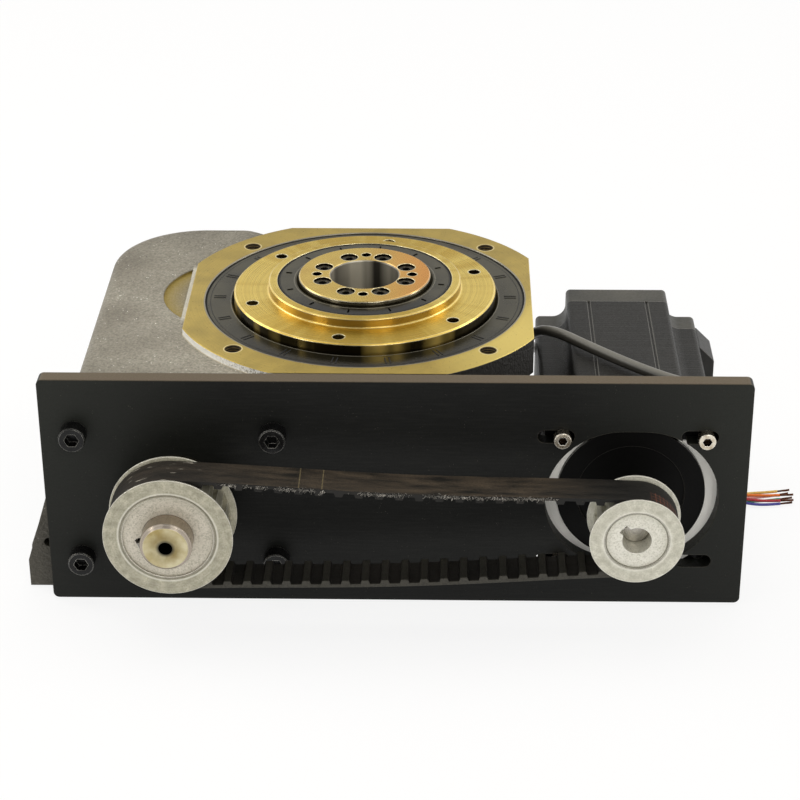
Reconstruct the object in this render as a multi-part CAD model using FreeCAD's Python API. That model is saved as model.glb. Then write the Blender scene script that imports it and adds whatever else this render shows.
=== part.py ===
import FreeCAD, Part
import math
import os

# Platform-type cam indexer driven by a stepper motor through a timing belt.
# X runs to the right along the belt, Y away from the pulleys, Z up from the base.
# The output turns about the Z axis. The cam and the motor turn about axes along Y.
# All sizes are in millimetres.

os.makedirs("parts", exist_ok=True)
Vec = FreeCAD.Vector

# Fits and gaps
press_fit = 0.02          # radial gap of pieces pressed or screwed into each other
running_fit = 0.08        # radial gap of bearings, lips and journals
side_play = 0.1           # end play of rollers
passing_gap = 0.5         # gap between pieces that pass each other
bolt_clearance = 0.25     # radial gap of a screw in a through hole

# Layout
shaft_height = 59.5       # cam axis and motor axis above the base
cam_distance = 90.0       # output axis to cam axis
platform_height = 123.0   # machined platform above the base
plate_back = -91.0        # rear face of the mounting plate

# Belt drive, pitch L
belt_pitch = 9.525
belt_teeth = 63
belt_width = 19.05
belt_back = 1.69          # thickness of the belt behind its teeth
belt_sag = 2.0            # both runs hang through by this much in the middle
belt_tooth_height = 1.91
belt_tooth_root = 4.65    # width of a belt tooth at its root
belt_tooth_tip = 3.26
belt_line = 0.381         # pitch line above the tips of the pulley teeth
belt_seat = 0.1           # play between belt and pulley tips
groove_depth = 2.67
groove_bottom = 3.05
groove_angle = 20.0       # slope of each groove flank
input_teeth = 19
motor_teeth = 13
pulley_gap = 15.8         # plate front to the rear face of the pulleys
pulley_face = 21.0        # toothed length between the flanges
pulley_flange = 1.6       # thickness of a pulley flange
input_flange_dia = 62.4
input_hub_dia = 43.6
motor_flange_dia = 45.3
motor_hub_dia = 30.6
flange_dish = 0.9         # how far the rim of a pulley flange bends outwards

# Housing casting
platform_dia = 198.0
platform_depth = 178.0    # across the front and back flats
platform_left = 90.5
platform_right = 86.0
platform_thickness = 19.0
platform_hole_spacing = 126.0
platform_hole_dia = 8.0
platform_hole_depth = 15.0
box_height = 119.5        # top of the casting over the cam
wall_top = -136.3         # left wall at the top of the casting
wall_foot = -168.6        # left wall at the top of the foot
box_back = 98.0
box_front = -87.0
box_corner = 46.0         # rounding of the rear left corner
box_rear_radius = 52.0    # sweep of the rear wall towards the platform
box_top_edge = 6.0        # rounding of the casting's upper edges
rear_boss_dia = 94.0      # round seat of the rear bearing cap
foot_left = -169.5
foot_right = 76.0
foot_front = -86.5
foot_back = 88.0
foot_height = 15.0
foot_corner = 16.0
barrel_radius = 83.0
barrel_right = 75.5
cavity_radius = 62.0
tunnel_radius = 46.5
tunnel_half = 40.0
front_pad_width = 118.0
front_pad_height = 92.0
front_pad_depth = 14.0
base_hole_dia = 8.0
base_hole_depth = 13.0
base_hole_x0 = -148.0
base_hole_x1 = 56.0
base_hole_spacing_y = 140.0
oil_valley_radius = 43.6  # crescent pocket beside the left flat of the platform
oil_valley_reach = 15.0
oil_valley_y = 10.0
oil_valley_depth = 1.6
oil_valley_lip = 2.8
dowel_hole_dia = 5.0      # small hole low in the front face, left of the plate
dowel_hole_x = -157.5
dowel_hole_height = 25.5
plug_dia = 13.0
plug_head_dia = 17.0
plug_head = 5.0
plug_boss_dia = 24.0
plug_boss_length = 16.0
plug_face = 86.0          # seat of the oil plugs behind the output axis
plug_fill_height = 76.0
plug_drain_height = 26.0
plug_heights = (plug_fill_height, plug_drain_height)

# Mounting plate
plate_width = 345.0
plate_left = -155.0
plate_height = 123.0
plate_foot = 0.5          # lower edge above the base
plate_thickness = 8.0
plate_corner = 3.0
plate_bolt = 8.0
plate_bolt_x = 97.0       # spacing of the plate screws
plate_bolt_z = 70.0
plate_bolt_length = 25.0
plate_shaft_hole = 46.0
slot_length = 18.0
slot_width = 7.0
slot_shift = -3.0         # slots sit this far from the motor holes
window_width = 85.0
window_height = 75.0

# Output parts
flange_dia = 135.0        # seal journal and rim of the output flange
flange_height = 128.0     # top of the output flange above the base
flange_holes = 6
flange_hole_dia = 6.0
flange_hole_pcd = 120.0
flange_hole_start = 19.5
flange_hole_depth = 11.0
ring_dia = 99.0           # raised ring on the output flange
ring_height = 133.1
ring_foot = 0.8           # fillet at the foot of the ring
spigot_bore = 66.0
shoulder_width = 7.0      # shoulder of the flange over the inner bearing ring
outer_seal_dia = 165.0
outer_seal_height = 10.0
inner_seal_dia = 90.0
inner_seal_height = 10.0
inner_seal_recess = 0.3
bearing_dia = 130.0
bearing_section = 20.0    # output bearing from its bore to its rim
bearing_height = 16.0
bearing_bottom = 94.0
bearing_lip = 5.0
roller_dia = 8.0          # crossed rollers of the output bearing
bearing_rollers = 24
clamp_rim = 7.0           # clamp ring beyond the rim of the bearing
clamp_overlap = 8.0       # clamp ring over the face of the bearing
clamp_height = 3.0
lock_nut_rim = 4.5
lock_nut_height = 5.5

# Fixed hub in the centre
hub_dia = 68.0
hub_height = 135.5
hub_bore = 35.0
hub_joint = 117.0         # where the hub sits on the column
hub_register = 3.0
column_dia = 60.0
column_foot_dia = 84.0
column_foot_height = 8.0
hub_screws = 8
hub_screw = 5.0
hub_screw_pcd = 46.0
hub_screw_length = 28.0
hub_grip = 0.675          # share of the hub's height under the screw heads
drill_run = 3.0           # tapped hole beyond the end of its screw
hub_tap_count = 4
hub_tap_dia = 5.0
hub_tap_pcd = 49.0
hub_tap_depth = 12.0
cover_dia = 144.0
cover_thickness = 10.0
cover_screws = 8
cover_screw = 4.0
cover_screw_pcd = 134.0
column_screws = 6
column_screw = 5.0
column_screw_pcd = 72.0

# Turret, followers and globoid cam
followers = 8
follower_dia = 22.0
follower_length = 12.0
follower_start = 46.4     # inner end of a follower roller from the output axis
follower_pin_dia = 12.0
stud_dia = 10.0
stud_collar_dia = 15.0
stud_head_dia = 17.0
stud_head = 1.0
turret_dia = 89.0
turret_height = 32.0
turret_screw = 5.0
turret_screw_length = 38.0
cam_half = 33.0
cam_root_gap = 0.9        # play between follower head and cam root

# Cam shaft and its bearings
bearing_seat_dia = 30.0
cam_bearing_dia = 62.0
cam_bearing_width = 17.0
cam_bearing_start = 57.0  # inner face of each cam bearing from the middle
cam_rollers = 12
race_apex = 115.0         # distance at which the race cones meet the shaft axis
race_inner_angle = 9.6
race_outer_angle = 13.4
cam_shoulder_dia = 38.0
seal_journal_dia = 28.0
shaft_seal_dia = 47.0
shaft_seal_width = 8.0
input_dia = 25.0
input_end = 10.0          # shaft beyond the front face of the pulley
input_chamfer = 2.0
input_centre_dia = 6.7
input_centre_depth = 12.0
key_width = 6.0
key_height = 6.0
key_sink = 3.5            # depth of the keyway in the shaft
keyway_width = 8.0
key_length = 24.0
key_angle = 204.0
cap_dia = 86.0
cap_thickness = 8.0
cap_recess = 10.0
cap_screws = 6
cap_screw = 6.0
cap_screw_pcd = 74.0
cap_screw_length = 18.0

# Stepper motor, 86 mm frame
motor_size = 86.0
motor_length = 146.0
motor_bolt_spacing = 69.6
motor_bolt = 5.0
motor_bolt_length = 25.0
motor_hole_dia = 6.6
motor_flange_thickness = 10.0
motor_cover_thickness = 15.5
motor_pilot_dia = 73.0
motor_pilot_height = 2.0
motor_recess_dia = 53.0
motor_notch = 16.0        # corner notch of the lamination stack
motor_notch_fillet = 7.0
motor_edge = 2.5
weld_groove_offset = 15.4
weld_groove_width = 1.6
weld_groove_depth = 0.6
nut_width = 8.0
nut_height = 4.0
motor_shaft_dia = 14.0
motor_shaft_length = 37.0
motor_journal_dia = 15.0
motor_bearing_dia = 35.0
motor_bearing_width = 11.0
motor_race = 3.5          # thickness of the bearing rings
stator_bore = 52.0
slot_circle = 72.0        # outer circle of the winding slots
stator_poles = 8
pole_width = 9.0
coil_thickness = 4.0
rotor_dia = 51.0
rotor_cup = 34.0          # length of one rotor half
magnet_length = 10.0
tie_screw = 4.0
tie_offset_x = 20.0
tie_offset_z = 38.0
tie_head_sink = 5.0
motor_key_width = 5.0
motor_key_height = 5.0
motor_key_sink = 3.0
motor_key_length = 10.0
motor_key_angle = 137.5

# Cable outlet, motor cable and leads
outlet_depth = 9.0
outlet_length = 24.0
outlet_bottom = 56.0
outlet_top = 82.0
outlet_chamfer = 8.0
outlet_back = 50.0
cable_dia = 5.6
cable_entry = 10.0        # length of cable inside the outlet
lead_dia = 1.5
cable_route = [
    (181.2, 50.0, 64.0), (181.2, 76.0, 62.0), (166.0, 104.0, 55.0), (132.0, 116.0, 47.0), (101.0, 100.0, 48.0),
    (86.0, 66.0, 60.0), (82.5, 29.0, 82.0), (92.5, -2.0, 107.8), (119.5, -29.5, 106.4), (147.0, -57.0, 106.7),
    (170.0, -69.0, 105.4), (188.8, -75.0, 87.0), (189.3, -74.0, 60.0), (185.5, -68.5, 33.0),
    (175.0, -57.0, 11.0),
    (167.5, -31.0, 3.4), (178.0, -8.5, 3.3), (199.0, 1.5, 3.3),
]
lead_routes = [
    [(198.35, 2.87, 4.18), (205.5, 6.2, 3.7), (218.5, 9.8, 2.4), (229.5, 13.6, 1.8)],
    [(199.0, 1.5, 5.05), (206.0, 3.0, 4.4), (219.0, 5.6, 2.6), (231.0, 8.6, 1.8)],
    [(199.65, 0.13, 4.18), (206.5, -0.2, 3.3), (219.0, 1.0, 1.8), (230.5, 3.5, 1.3)],
    [(199.65, 0.13, 2.43), (206.5, -2.2, 1.6), (219.0, -1.6, 1.2), (229.5, 0.9, 1.3)],
    [(199.0, 1.5, 1.55), (206.0, 1.4, 1.2), (219.0, 3.3, 1.1), (230.0, 6.0, 1.4)],
    [(198.35, 2.87, 2.43), (205.5, 4.7, 1.4), (218.5, 7.7, 1.1), (228.5, 11.0, 1.2)],
]

# Values worked out from the sizes above
cam_x = -cam_distance
plate_front = plate_back - plate_thickness
pulley_back = plate_front - pulley_gap
pulley_front = pulley_back - pulley_face - 2 * pulley_flange
pulley_mid = (pulley_back + pulley_front) / 2
input_pitch_r = input_teeth * belt_pitch / (2 * math.pi)
motor_pitch_r = motor_teeth * belt_pitch / (2 * math.pi)
seal_floor = platform_height - outer_seal_height
bearing_top = bearing_bottom + bearing_height
inner_seal_floor = ring_height - inner_seal_recess - inner_seal_height
spigot_dia = bearing_dia - 2 * bearing_section
shoulder_dia = spigot_dia + 2 * shoulder_width
lock_nut_dia = spigot_dia + 2 * lock_nut_rim
clamp_dia = bearing_dia + 2 * clamp_rim
clamp_bore = bearing_dia - 2 * clamp_overlap
turret_screw_pcd = (spigot_dia + spigot_bore) / 2
hub_seat = hub_joint + hub_grip * (hub_height - hub_joint)
turret_top = shaft_height + turret_height / 2
turret_bottom = shaft_height - turret_height / 2
follower_end = follower_start + follower_length
stud_end = follower_end + side_play + stud_head
cam_root = stud_end + cam_root_gap
follower_step = 360.0 / followers
follower_angles = [follower_step * (k + 0.5) for k in range(followers)]


def belt_lean(centres):
    """Angle by which the belt runs lean towards each other."""
    return math.asin((input_pitch_r - motor_pitch_r) / centres)


def belt_length(centres):
    lean = belt_lean(centres)
    wraps = input_pitch_r * (math.pi + 2 * lean) + motor_pitch_r * (math.pi - 2 * lean)
    return 2 * centres * math.cos(lean) + wraps


def tight_centres():
    """Centre distance at which the belt is just tight."""
    low = input_pitch_r + motor_pitch_r
    high = belt_teeth * belt_pitch
    while high - low > 1e-9:
        middle = (low + high) / 2
        if belt_length(middle) < belt_teeth * belt_pitch:
            low = middle
        else:
            high = middle
    return low


belt_centres = tight_centres()
motor_x = cam_x + belt_centres
run_angle = math.pi / 2 - belt_lean(belt_centres)
run_length = belt_centres * math.cos(belt_lean(belt_centres))
motor_wrap = motor_pitch_r * 2 * run_angle


def save(name, shape):
    shape.exportStep("parts/" + name + ".step")


def block(x0, x1, y0, y1, z0, z1):
    return Part.makeBox(x1 - x0, y1 - y0, z1 - z0, Vec(x0, y0, z0))


def post(dia, z0, z1, x=0.0, y=0.0):
    """Upright cylinder."""
    return Part.makeCylinder(dia / 2, z1 - z0, Vec(x, y, z0), Vec(0, 0, 1))


def bar(dia, y0, y1, x, z):
    """Cylinder along Y."""
    return Part.makeCylinder(dia / 2, y1 - y0, Vec(x, y0, z), Vec(0, 1, 0))


def sleeve(dia, bore, z0, z1):
    return post(dia, z0, z1).cut(post(bore, z0 - 1, z1 + 1))


def turned_z(profile):
    """Solid of revolution about the output axis from (radius, height) points."""
    wire = Part.makePolygon([Vec(r, 0, z) for r, z in profile + profile[:1]])
    return Part.Face(wire).revolve(Vec(0, 0, 0), Vec(0, 0, 1), 360)


def turned_y(profile, x):
    """Solid of revolution about the shaft axis at x from (radius, y) points."""
    wire = Part.makePolygon([Vec(x + r, y, shaft_height) for r, y in profile + profile[:1]])
    return Part.Face(wire).revolve(Vec(x, 0, shaft_height), Vec(0, 1, 0), 360)


def prism_y(outline, y0, y1):
    """Outline of (x, z) points extruded along Y."""
    wire = Part.makePolygon([Vec(x, y0, z) for x, z in outline + outline[:1]])
    return Part.Face(wire).extrude(Vec(0, y1 - y0, 0))


def obround_y(width, height, y0, y1, x, z):
    """Slot with round ends, longer along X, through a plate that faces Y."""
    half = (width - height) / 2
    slot = bar(height, y0, y1, x - half, z).fuse(bar(height, y0, y1, x + half, z))
    return slot.fuse(block(x - half, x + half, y0, y1, z - height / 2, z + height / 2)).removeSplitter()


def around_z(shape, angle):
    turned = shape.copy()
    turned.rotate(Vec(0, 0, 0), Vec(0, 0, 1), angle)
    return turned


def around_y(shape, angle, x):
    """Copy turned about the shaft axis at x, from +X towards +Z."""
    turned = shape.copy()
    turned.rotate(Vec(x, 0, shaft_height), Vec(0, -1, 0), angle)
    return turned


def circle_z(pcd, count, start=0.0):
    """Points on a bolt circle about the output axis."""
    angles = [math.radians(start + 360.0 * k / count) for k in range(count)]
    return [(pcd / 2 * math.cos(a), pcd / 2 * math.sin(a)) for a in angles]


def circle_y(pcd, count, x, start=0.0):
    """Points on a bolt circle about the shaft axis at x."""
    angles = [math.radians(start + 360.0 * k / count) for k in range(count)]
    return [(x + pcd / 2 * math.cos(a), shaft_height + pcd / 2 * math.sin(a)) for a in angles]


def corners(spacing_a, spacing_b, a=0.0, b=0.0):
    """Four corners of a rectangle about (a, b)."""
    return [(a + i * spacing_a / 2, b + j * spacing_b / 2) for i in (-1, 1) for j in (-1, 1)]


def head_dia(thread):
    return 1.5 * thread + 1


def hexagon(width, height):
    """Upright hexagonal prism standing on the origin."""
    radius = width / math.sqrt(3)
    ring = [math.radians(60 * k) for k in range(7)]
    wire = Part.makePolygon([Vec(radius * math.cos(a), radius * math.sin(a), 0) for a in ring])
    return Part.Face(wire).extrude(Vec(0, 0, height))


def socket_screw(thread, length):
    """Socket head cap screw, head upwards, seat at the origin."""
    head = Part.makeCylinder(head_dia(thread) / 2, thread)
    head = head.makeChamfer(0.06 * thread, [head.Edges[0]])
    shank = Part.makeCylinder(thread / 2 - press_fit, length, Vec(0, 0, -length))
    socket = hexagon(0.8 * thread, 0.6 * thread)
    socket.translate(Vec(0, 0, 0.4 * thread))
    return head.fuse(shank).cut(socket)


def placed(shape, point, direction):
    """Copy of a piece that stands on the origin, moved to a point and turned to a direction."""
    moved = shape.copy()
    moved.Placement = FreeCAD.Placement(Vec(*point), FreeCAD.Rotation(Vec(0, 0, 1), Vec(*direction)))
    return moved


def group(shapes):
    return Part.makeCompound(shapes)


def fused(shapes):
    return shapes[0].multiFuse(shapes[1:]).removeSplitter()


def drilled(shape, cutters):
    return shape.cut(group(cutters)) if len(cutters) > 1 else shape.cut(cutters[0])


def platform_outline(z0, z1):
    """Disc with four flats."""
    disc = post(platform_dia, z0, z1)
    return disc.common(block(-platform_left, platform_right, -platform_depth / 2, platform_depth / 2, z0, z1))


def cam_box():
    """Sloping cast box over the cam, rounded at the rear left and swept towards the platform."""
    outline = [(wall_foot, 0), (wall_foot, foot_height), (wall_top, box_height), (0, box_height), (0, 0)]
    body = prism_y(outline, box_front, box_back)
    corner = [e for e in body.Edges if is_rear_left(e)]
    body = body.makeFillet(box_corner, corner)
    body = body.makeFillet(box_top_edge, [e for e in body.Edges if is_top_rim(e)])
    sweep = post(2 * box_rear_radius, 0, box_height, cam_x, box_back - box_rear_radius)
    left = block(wall_foot, cam_x, box_front, box_back, 0, box_height)
    right = block(cam_x, 0, box_front, 0, 0, box_height)
    boss = bar(rear_boss_dia, cam_bearing_start, box_back, cam_x, shaft_height)
    return body.common(fused([left, right, sweep])).fuse(boss)


def is_rear_left(edge):
    ends = [v.Point for v in edge.Vertexes]
    at_rear = all(abs(p.y - box_back) < 0.01 for p in ends)
    return at_rear and edge.CenterOfMass.x < wall_top and edge.BoundBox.ZLength > 1


def is_top_rim(edge):
    """Upper edges of the left wall, of the rounded corner and of the rear wall."""
    at_top = edge.BoundBox.ZMin > box_height - 0.01
    middle = edge.CenterOfMass
    return at_top and (middle.x < wall_top + box_corner or middle.y > box_back - 0.01)


def housing():
    foot = block(foot_left, foot_right, foot_front, foot_back, 0, foot_height)
    foot = foot.makeFillet(foot_corner, [e for e in foot.Edges if e.BoundBox.ZLength > foot_height - 0.1])
    barrel = post(2 * barrel_radius, 0, platform_height - platform_thickness / 2)
    barrel = barrel.common(block(-barrel_radius, barrel_right, box_front, -box_front, 0, platform_height))
    platform = platform_outline(platform_height - platform_thickness, platform_height)
    pad = block(cam_x - front_pad_width / 2, cam_x + front_pad_width / 2, plate_back,
                plate_back + front_pad_depth, shaft_height - front_pad_height / 2,
                shaft_height + front_pad_height / 2)
    pad = pad.makeFillet(8.0, [e for e in pad.Edges if e.BoundBox.YLength > front_pad_depth - 0.1])
    bosses = [bar(plug_boss_dia, plug_face - plug_boss_length, plug_face, 0, z) for z in plug_heights]
    body = fused([foot, barrel, platform, cam_box(), pad] + bosses)
    return drilled(body, housing_cavities() + housing_holes())


def housing_cavities():
    """Bores of the output stack and of the cam tunnel, and the shallow valley beside the platform."""
    lip_z = bearing_bottom - bearing_lip
    valley_x = -platform_left - oil_valley_reach + oil_valley_radius
    valley = post(2 * oil_valley_radius, box_height - oil_valley_depth, box_height + 1, valley_x, oil_valley_y)
    valley = valley.common(block(-2 * platform_left, -platform_left - oil_valley_lip, -platform_dia, platform_dia,
                                 0, platform_height))
    tunnel_front = plate_back + cap_recess
    rear_spigot = cam_bearing_start + cam_bearing_width
    return [
        post(cover_dia, -1, cover_thickness),
        post(2 * cavity_radius, cover_thickness - 1, lip_z),
        post(bearing_dia - 2 * bearing_lip, lip_z - 1, bearing_bottom + 1),
        post(bearing_dia, bearing_bottom, bearing_top + 1),
        post(clamp_dia, bearing_top, seal_floor + 1),
        post(outer_seal_dia, seal_floor, platform_height + 1),
        bar(2 * tunnel_radius, -tunnel_half, tunnel_half, cam_x, shaft_height),
        bar(cam_bearing_dia - 8, -rear_spigot, rear_spigot, cam_x, shaft_height),
        bar(cam_bearing_dia, tunnel_front - 1, -cam_bearing_start, cam_x, shaft_height),
        bar(cap_dia, plate_back - 1, tunnel_front, cam_x, shaft_height),
        bar(cam_bearing_dia, cam_bearing_start, box_back + 1, cam_x, shaft_height),
        valley,
    ]


def housing_holes():
    """Tapped holes of the platform, base, covers and plugs."""
    holes = []
    for x, y in corners(platform_hole_spacing, platform_hole_spacing):
        holes.append(post(platform_hole_dia, platform_height - platform_hole_depth, platform_height + 1, x, y))
    middle = (base_hole_x0 + base_hole_x1) / 2
    for x, y in corners(base_hole_x1 - base_hole_x0, base_hole_spacing_y, middle, 0.0):
        holes.append(post(base_hole_dia, -1, base_hole_depth, x, y))
    for x, z in corners(plate_bolt_x, plate_bolt_z, cam_x, shaft_height):
        holes.append(bar(plate_bolt, plate_back - 1, plate_back + plate_bolt_length, x, z))
    for x, z in circle_y(cap_screw_pcd, cap_screws, cam_x, 30.0):
        holes.append(bar(cap_screw, box_back - cap_screw_length, box_back + 1, x, z))
    for x, y in circle_z(cover_screw_pcd, cover_screws, 22.5):
        holes.append(post(cover_screw, cover_thickness - 1, cover_thickness + 2 * cover_screw, x, y))
    holes.append(bar(dowel_hole_dia, box_front - 1, box_front + 12, dowel_hole_x, dowel_hole_height))
    for z in plug_heights:
        holes.append(bar(plug_dia, cavity_radius - 5, plug_face + 1, 0, z))
    return holes


def oil_plugs():
    """Hex-socket plugs in the rear wall, one to fill and one to drain the oil bath."""
    plugs = []
    for z in plug_heights:
        plug = bar(plug_dia - 2 * press_fit, plug_face - 12, plug_face, 0, z)
        plug = plug.fuse(bar(plug_head_dia, plug_face, plug_face + plug_head, 0, z))
        plugs.append(plug.cut(placed(hexagon(8.0, plug_head), (0, plug_face + 1.5, z), (0, 1, 0))))
    return group(plugs)


def bottom_cover():
    cover = sleeve(cover_dia - 2 * press_fit, hub_bore, 0, cover_thickness)
    holes = []
    for x, y in circle_z(cover_screw_pcd, cover_screws, 22.5):
        holes.append(post(cover_screw + 2 * bolt_clearance, -1, cover_thickness + 1, x, y))
        holes.append(post(head_dia(cover_screw) + 1, -1, cover_screw + 0.5, x, y))
    for x, y in circle_z(column_screw_pcd, column_screws, 0.0):
        holes.append(post(column_screw + 2 * bolt_clearance, -1, cover_thickness + 1, x, y))
        holes.append(post(head_dia(column_screw) + 1, -1, column_screw + 0.5, x, y))
    return drilled(cover, holes)


def screws_from_below(thread, length, points):
    screw = socket_screw(thread, length)
    return group([placed(screw, (x, y, thread + 0.5), (0, 0, -1)) for x, y in points])


def centre_column():
    """Fixed column that stands on the bottom cover and carries the hub."""
    foot = post(column_foot_dia, cover_thickness, cover_thickness + column_foot_height)
    column = foot.fuse(post(column_dia, cover_thickness, hub_joint))
    holes = [post(hub_bore, 0, hub_joint + 1)]
    for x, y in circle_z(column_screw_pcd, column_screws, 0.0):
        holes.append(post(column_screw, 0, cover_thickness + column_foot_height - 1, x, y))
    for x, y in circle_z(hub_screw_pcd, hub_screws, 22.5):
        holes.append(post(hub_screw, hub_seat - hub_screw_length - drill_run, hub_joint + 1, x, y))
    return drilled(column, holes)


def hub_cap():
    """Fixed hub ring in the middle of the output, with counterbored screws and tapped holes."""
    hub = turned_z([
        (hub_bore / 2, hub_joint), (column_dia / 2 + press_fit, hub_joint),
        (column_dia / 2 + press_fit, hub_joint - hub_register), (hub_dia / 2, hub_joint - hub_register),
        (hub_dia / 2, hub_height - 0.6), (hub_dia / 2 - 0.6, hub_height),
        (hub_bore / 2 + 0.8, hub_height), (hub_bore / 2, hub_height - 0.8),
    ])
    holes = []
    for x, y in circle_z(hub_screw_pcd, hub_screws, 22.5):
        holes.append(post(hub_screw + 2 * bolt_clearance, hub_joint - 1, hub_height + 1, x, y))
        holes.append(post(head_dia(hub_screw) + 0.6, hub_seat, hub_height + 1, x, y))
    for x, y in circle_z(hub_tap_pcd, hub_tap_count):
        holes.append(post(hub_tap_dia, hub_height - hub_tap_depth, hub_height + 1, x, y))
    return drilled(hub, holes)


def hub_screw_set():
    screw = socket_screw(hub_screw, hub_screw_length)
    points = circle_z(hub_screw_pcd, hub_screws, 22.5)
    return group([placed(screw, (x, y, hub_seat), (0, 0, 1)) for x, y in points])


def lip_seal(dia, journal, z0, z1):
    """Rotary shaft seal: outer shell, thin web at the top and a lip on the journal."""
    outer = dia / 2 - press_fit
    inner = journal / 2 + running_fit
    shell = outer - 3.0
    return turned_z([
        (outer, z0), (outer, z1), (inner + 1.2, z1), (inner, z1 - 2.0), (inner, z0 + 2.5), (inner + 1.5, z0),
        (inner + 3.0, z0), (inner + 3.5, z1 - 4.0), (shell, z1 - 4.0), (shell, z0),
    ])


def bearing_clamp_ring():
    """Threaded ring that holds the outer bearing ring, with holes for a pin spanner."""
    ring = sleeve(clamp_dia - 2 * press_fit, clamp_bore, bearing_top, bearing_top + clamp_height)
    holes = [post(4.0, bearing_top - 1, bearing_top + clamp_height + 1, x, y)
             for x, y in circle_z(clamp_dia - 10, 4, 45.0)]
    return drilled(ring, holes)


roller_circle = (spigot_dia / 2 + bearing_dia / 2) / 2
roller_middle = bearing_bottom + bearing_height / 2
race_gap = 0.4            # half of the gap between the two bearing rings


def output_bearing_ring(wall, side):
    """Ring of the crossed-roller bearing: wall is the plain radius, side is +1 for the outer ring."""
    reach = roller_dia / math.sqrt(2) + running_fit * math.sqrt(2)
    face = roller_circle + side * race_gap
    groove = reach - race_gap
    return turned_z([
        (wall, bearing_bottom), (face, bearing_bottom), (face, roller_middle - groove),
        (roller_circle + side * reach, roller_middle), (face, roller_middle + groove),
        (face, bearing_top), (wall, bearing_top),
    ])


def output_bearing_rollers():
    """Crossed rollers, turned by 45 degrees one way and the other in turn."""
    length = roller_dia - 2 * side_play
    rollers = []
    for k in range(bearing_rollers):
        tilt = 1 if k % 2 else -1
        axis = Vec(math.sqrt(0.5), 0, tilt * math.sqrt(0.5))
        start = Vec(roller_circle, 0, roller_middle) - axis * (length / 2)
        roller = Part.makeCylinder(roller_dia / 2 - running_fit / 2, length, start, axis)
        rollers.append(around_z(roller, 360.0 * k / bearing_rollers))
    return group(rollers)


def bearing_lock_nut():
    """Nut on the spigot under the inner bearing ring, with four spanner slots."""
    z0 = bearing_bottom - lock_nut_height
    nut = sleeve(lock_nut_dia, spigot_dia + 2 * press_fit, z0, bearing_bottom)
    slot = block(lock_nut_dia / 2 - 2, lock_nut_dia, -2.5, 2.5, z0 - 1, bearing_bottom + 1)
    slots = [around_z(slot, 90 * k + 45) for k in range(4)]
    return drilled(nut, slots)


def output_flange():
    """Output flange with its raised ring, seal journal, bearing spigot and tapped holes."""
    rim = flange_dia / 2
    ring = ring_dia / 2
    neck = hub_dia / 2 + passing_gap
    neck_end = hub_joint - hub_register - 2
    under = seal_floor + passing_gap
    screw_end = turret_bottom + turret_screw + 0.5 + turret_screw_length
    flange = turned_z([
        (spigot_bore / 2, turret_top), (spigot_dia / 2, turret_top), (spigot_dia / 2, bearing_top),
        (shoulder_dia / 2, bearing_top), (shoulder_dia / 2, under), (rim, under), (rim, flange_height - 0.7),
        (rim - 0.7, flange_height), (ring + ring_foot, flange_height),
        (ring + 0.3 * ring_foot, flange_height + 0.3 * ring_foot), (ring, flange_height + ring_foot),
        (ring, ring_height - 0.5), (ring - 0.5, ring_height), (inner_seal_dia / 2, ring_height),
        (inner_seal_dia / 2, inner_seal_floor), (neck, inner_seal_floor),
        (neck, neck_end), (spigot_bore / 2, neck_end - neck + spigot_bore / 2),
    ])
    holes = []
    for x, y in circle_z(flange_hole_pcd, flange_holes, flange_hole_start):
        holes.append(post(flange_hole_dia, flange_height - flange_hole_depth, flange_height + 1, x, y))
    for x, y in circle_z(turret_screw_pcd, followers):
        holes.append(post(turret_screw, turret_top - 1, screw_end, x, y))
    return drilled(flange, holes)


def turret():
    """Ring under the output flange that carries the follower studs."""
    ring = sleeve(turret_dia, spigot_bore, turret_bottom, turret_top)
    seat = turret_bottom + turret_screw + 0.5
    holes = []
    for x, y in circle_z(turret_screw_pcd, followers):
        holes.append(post(turret_screw + 2 * bolt_clearance, turret_bottom - 1, turret_top + 1, x, y))
        holes.append(post(head_dia(turret_screw) + 0.5, turret_bottom - 1, seat, x, y))
    for angle in follower_angles:
        holes.append(around_z(along_x(stud_dia, 0, turret_dia), angle))
    return drilled(ring, holes)


def along_x(dia, x0, x1):
    """Cylinder from the output axis outwards along X, at the height of the cam axis."""
    return Part.makeCylinder(dia / 2, x1 - x0, Vec(x0, 0, shaft_height), Vec(1, 0, 0))


def turret_screw_set():
    seat = turret_bottom + turret_screw + 0.5
    screw = socket_screw(turret_screw, turret_screw_length)
    return group([placed(screw, (x, y, seat), (0, 0, -1)) for x, y in circle_z(turret_screw_pcd, followers)])


def follower_studs():
    """Studs pressed into the turret, each with a collar, a pin and a head for its roller."""
    inner = spigot_bore / 2 + 1.0
    stud = fused([
        along_x(stud_dia - 2 * press_fit, inner, turret_dia / 2),
        along_x(stud_collar_dia, turret_dia / 2, follower_start - side_play),
        along_x(follower_pin_dia, follower_start - side_play, follower_end + side_play),
        along_x(stud_head_dia, follower_end + side_play, stud_end),
    ])
    return group([around_z(stud, angle) for angle in follower_angles])


def follower_roller(angle):
    roller = along_x(follower_dia, follower_start, follower_end)
    roller = roller.cut(along_x(follower_pin_dia + 2 * running_fit, 0, 2 * follower_end))
    return around_z(roller, angle)


def cam_core():
    """Waisted body of the cam whose root follows the heads of the followers."""
    arc = Part.Arc(root_point(-cam_half), root_point(0.0), root_point(cam_half)).toShape()
    start = Vec(cam_x, -cam_half, shaft_height)
    end = Vec(cam_x, cam_half, shaft_height)
    sides = [Part.makeLine(start, root_point(-cam_half)), arc, Part.makeLine(root_point(cam_half), end),
             Part.makeLine(end, start)]
    face = Part.Face(Part.Wire(sides))
    return face.revolve(Vec(cam_x, 0, shaft_height), Vec(0, 1, 0), 360)


def root_point(y):
    radius = cam_distance - math.sqrt(cam_root ** 2 - y ** 2)
    return Vec(cam_x + radius, y, shaft_height)


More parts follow.
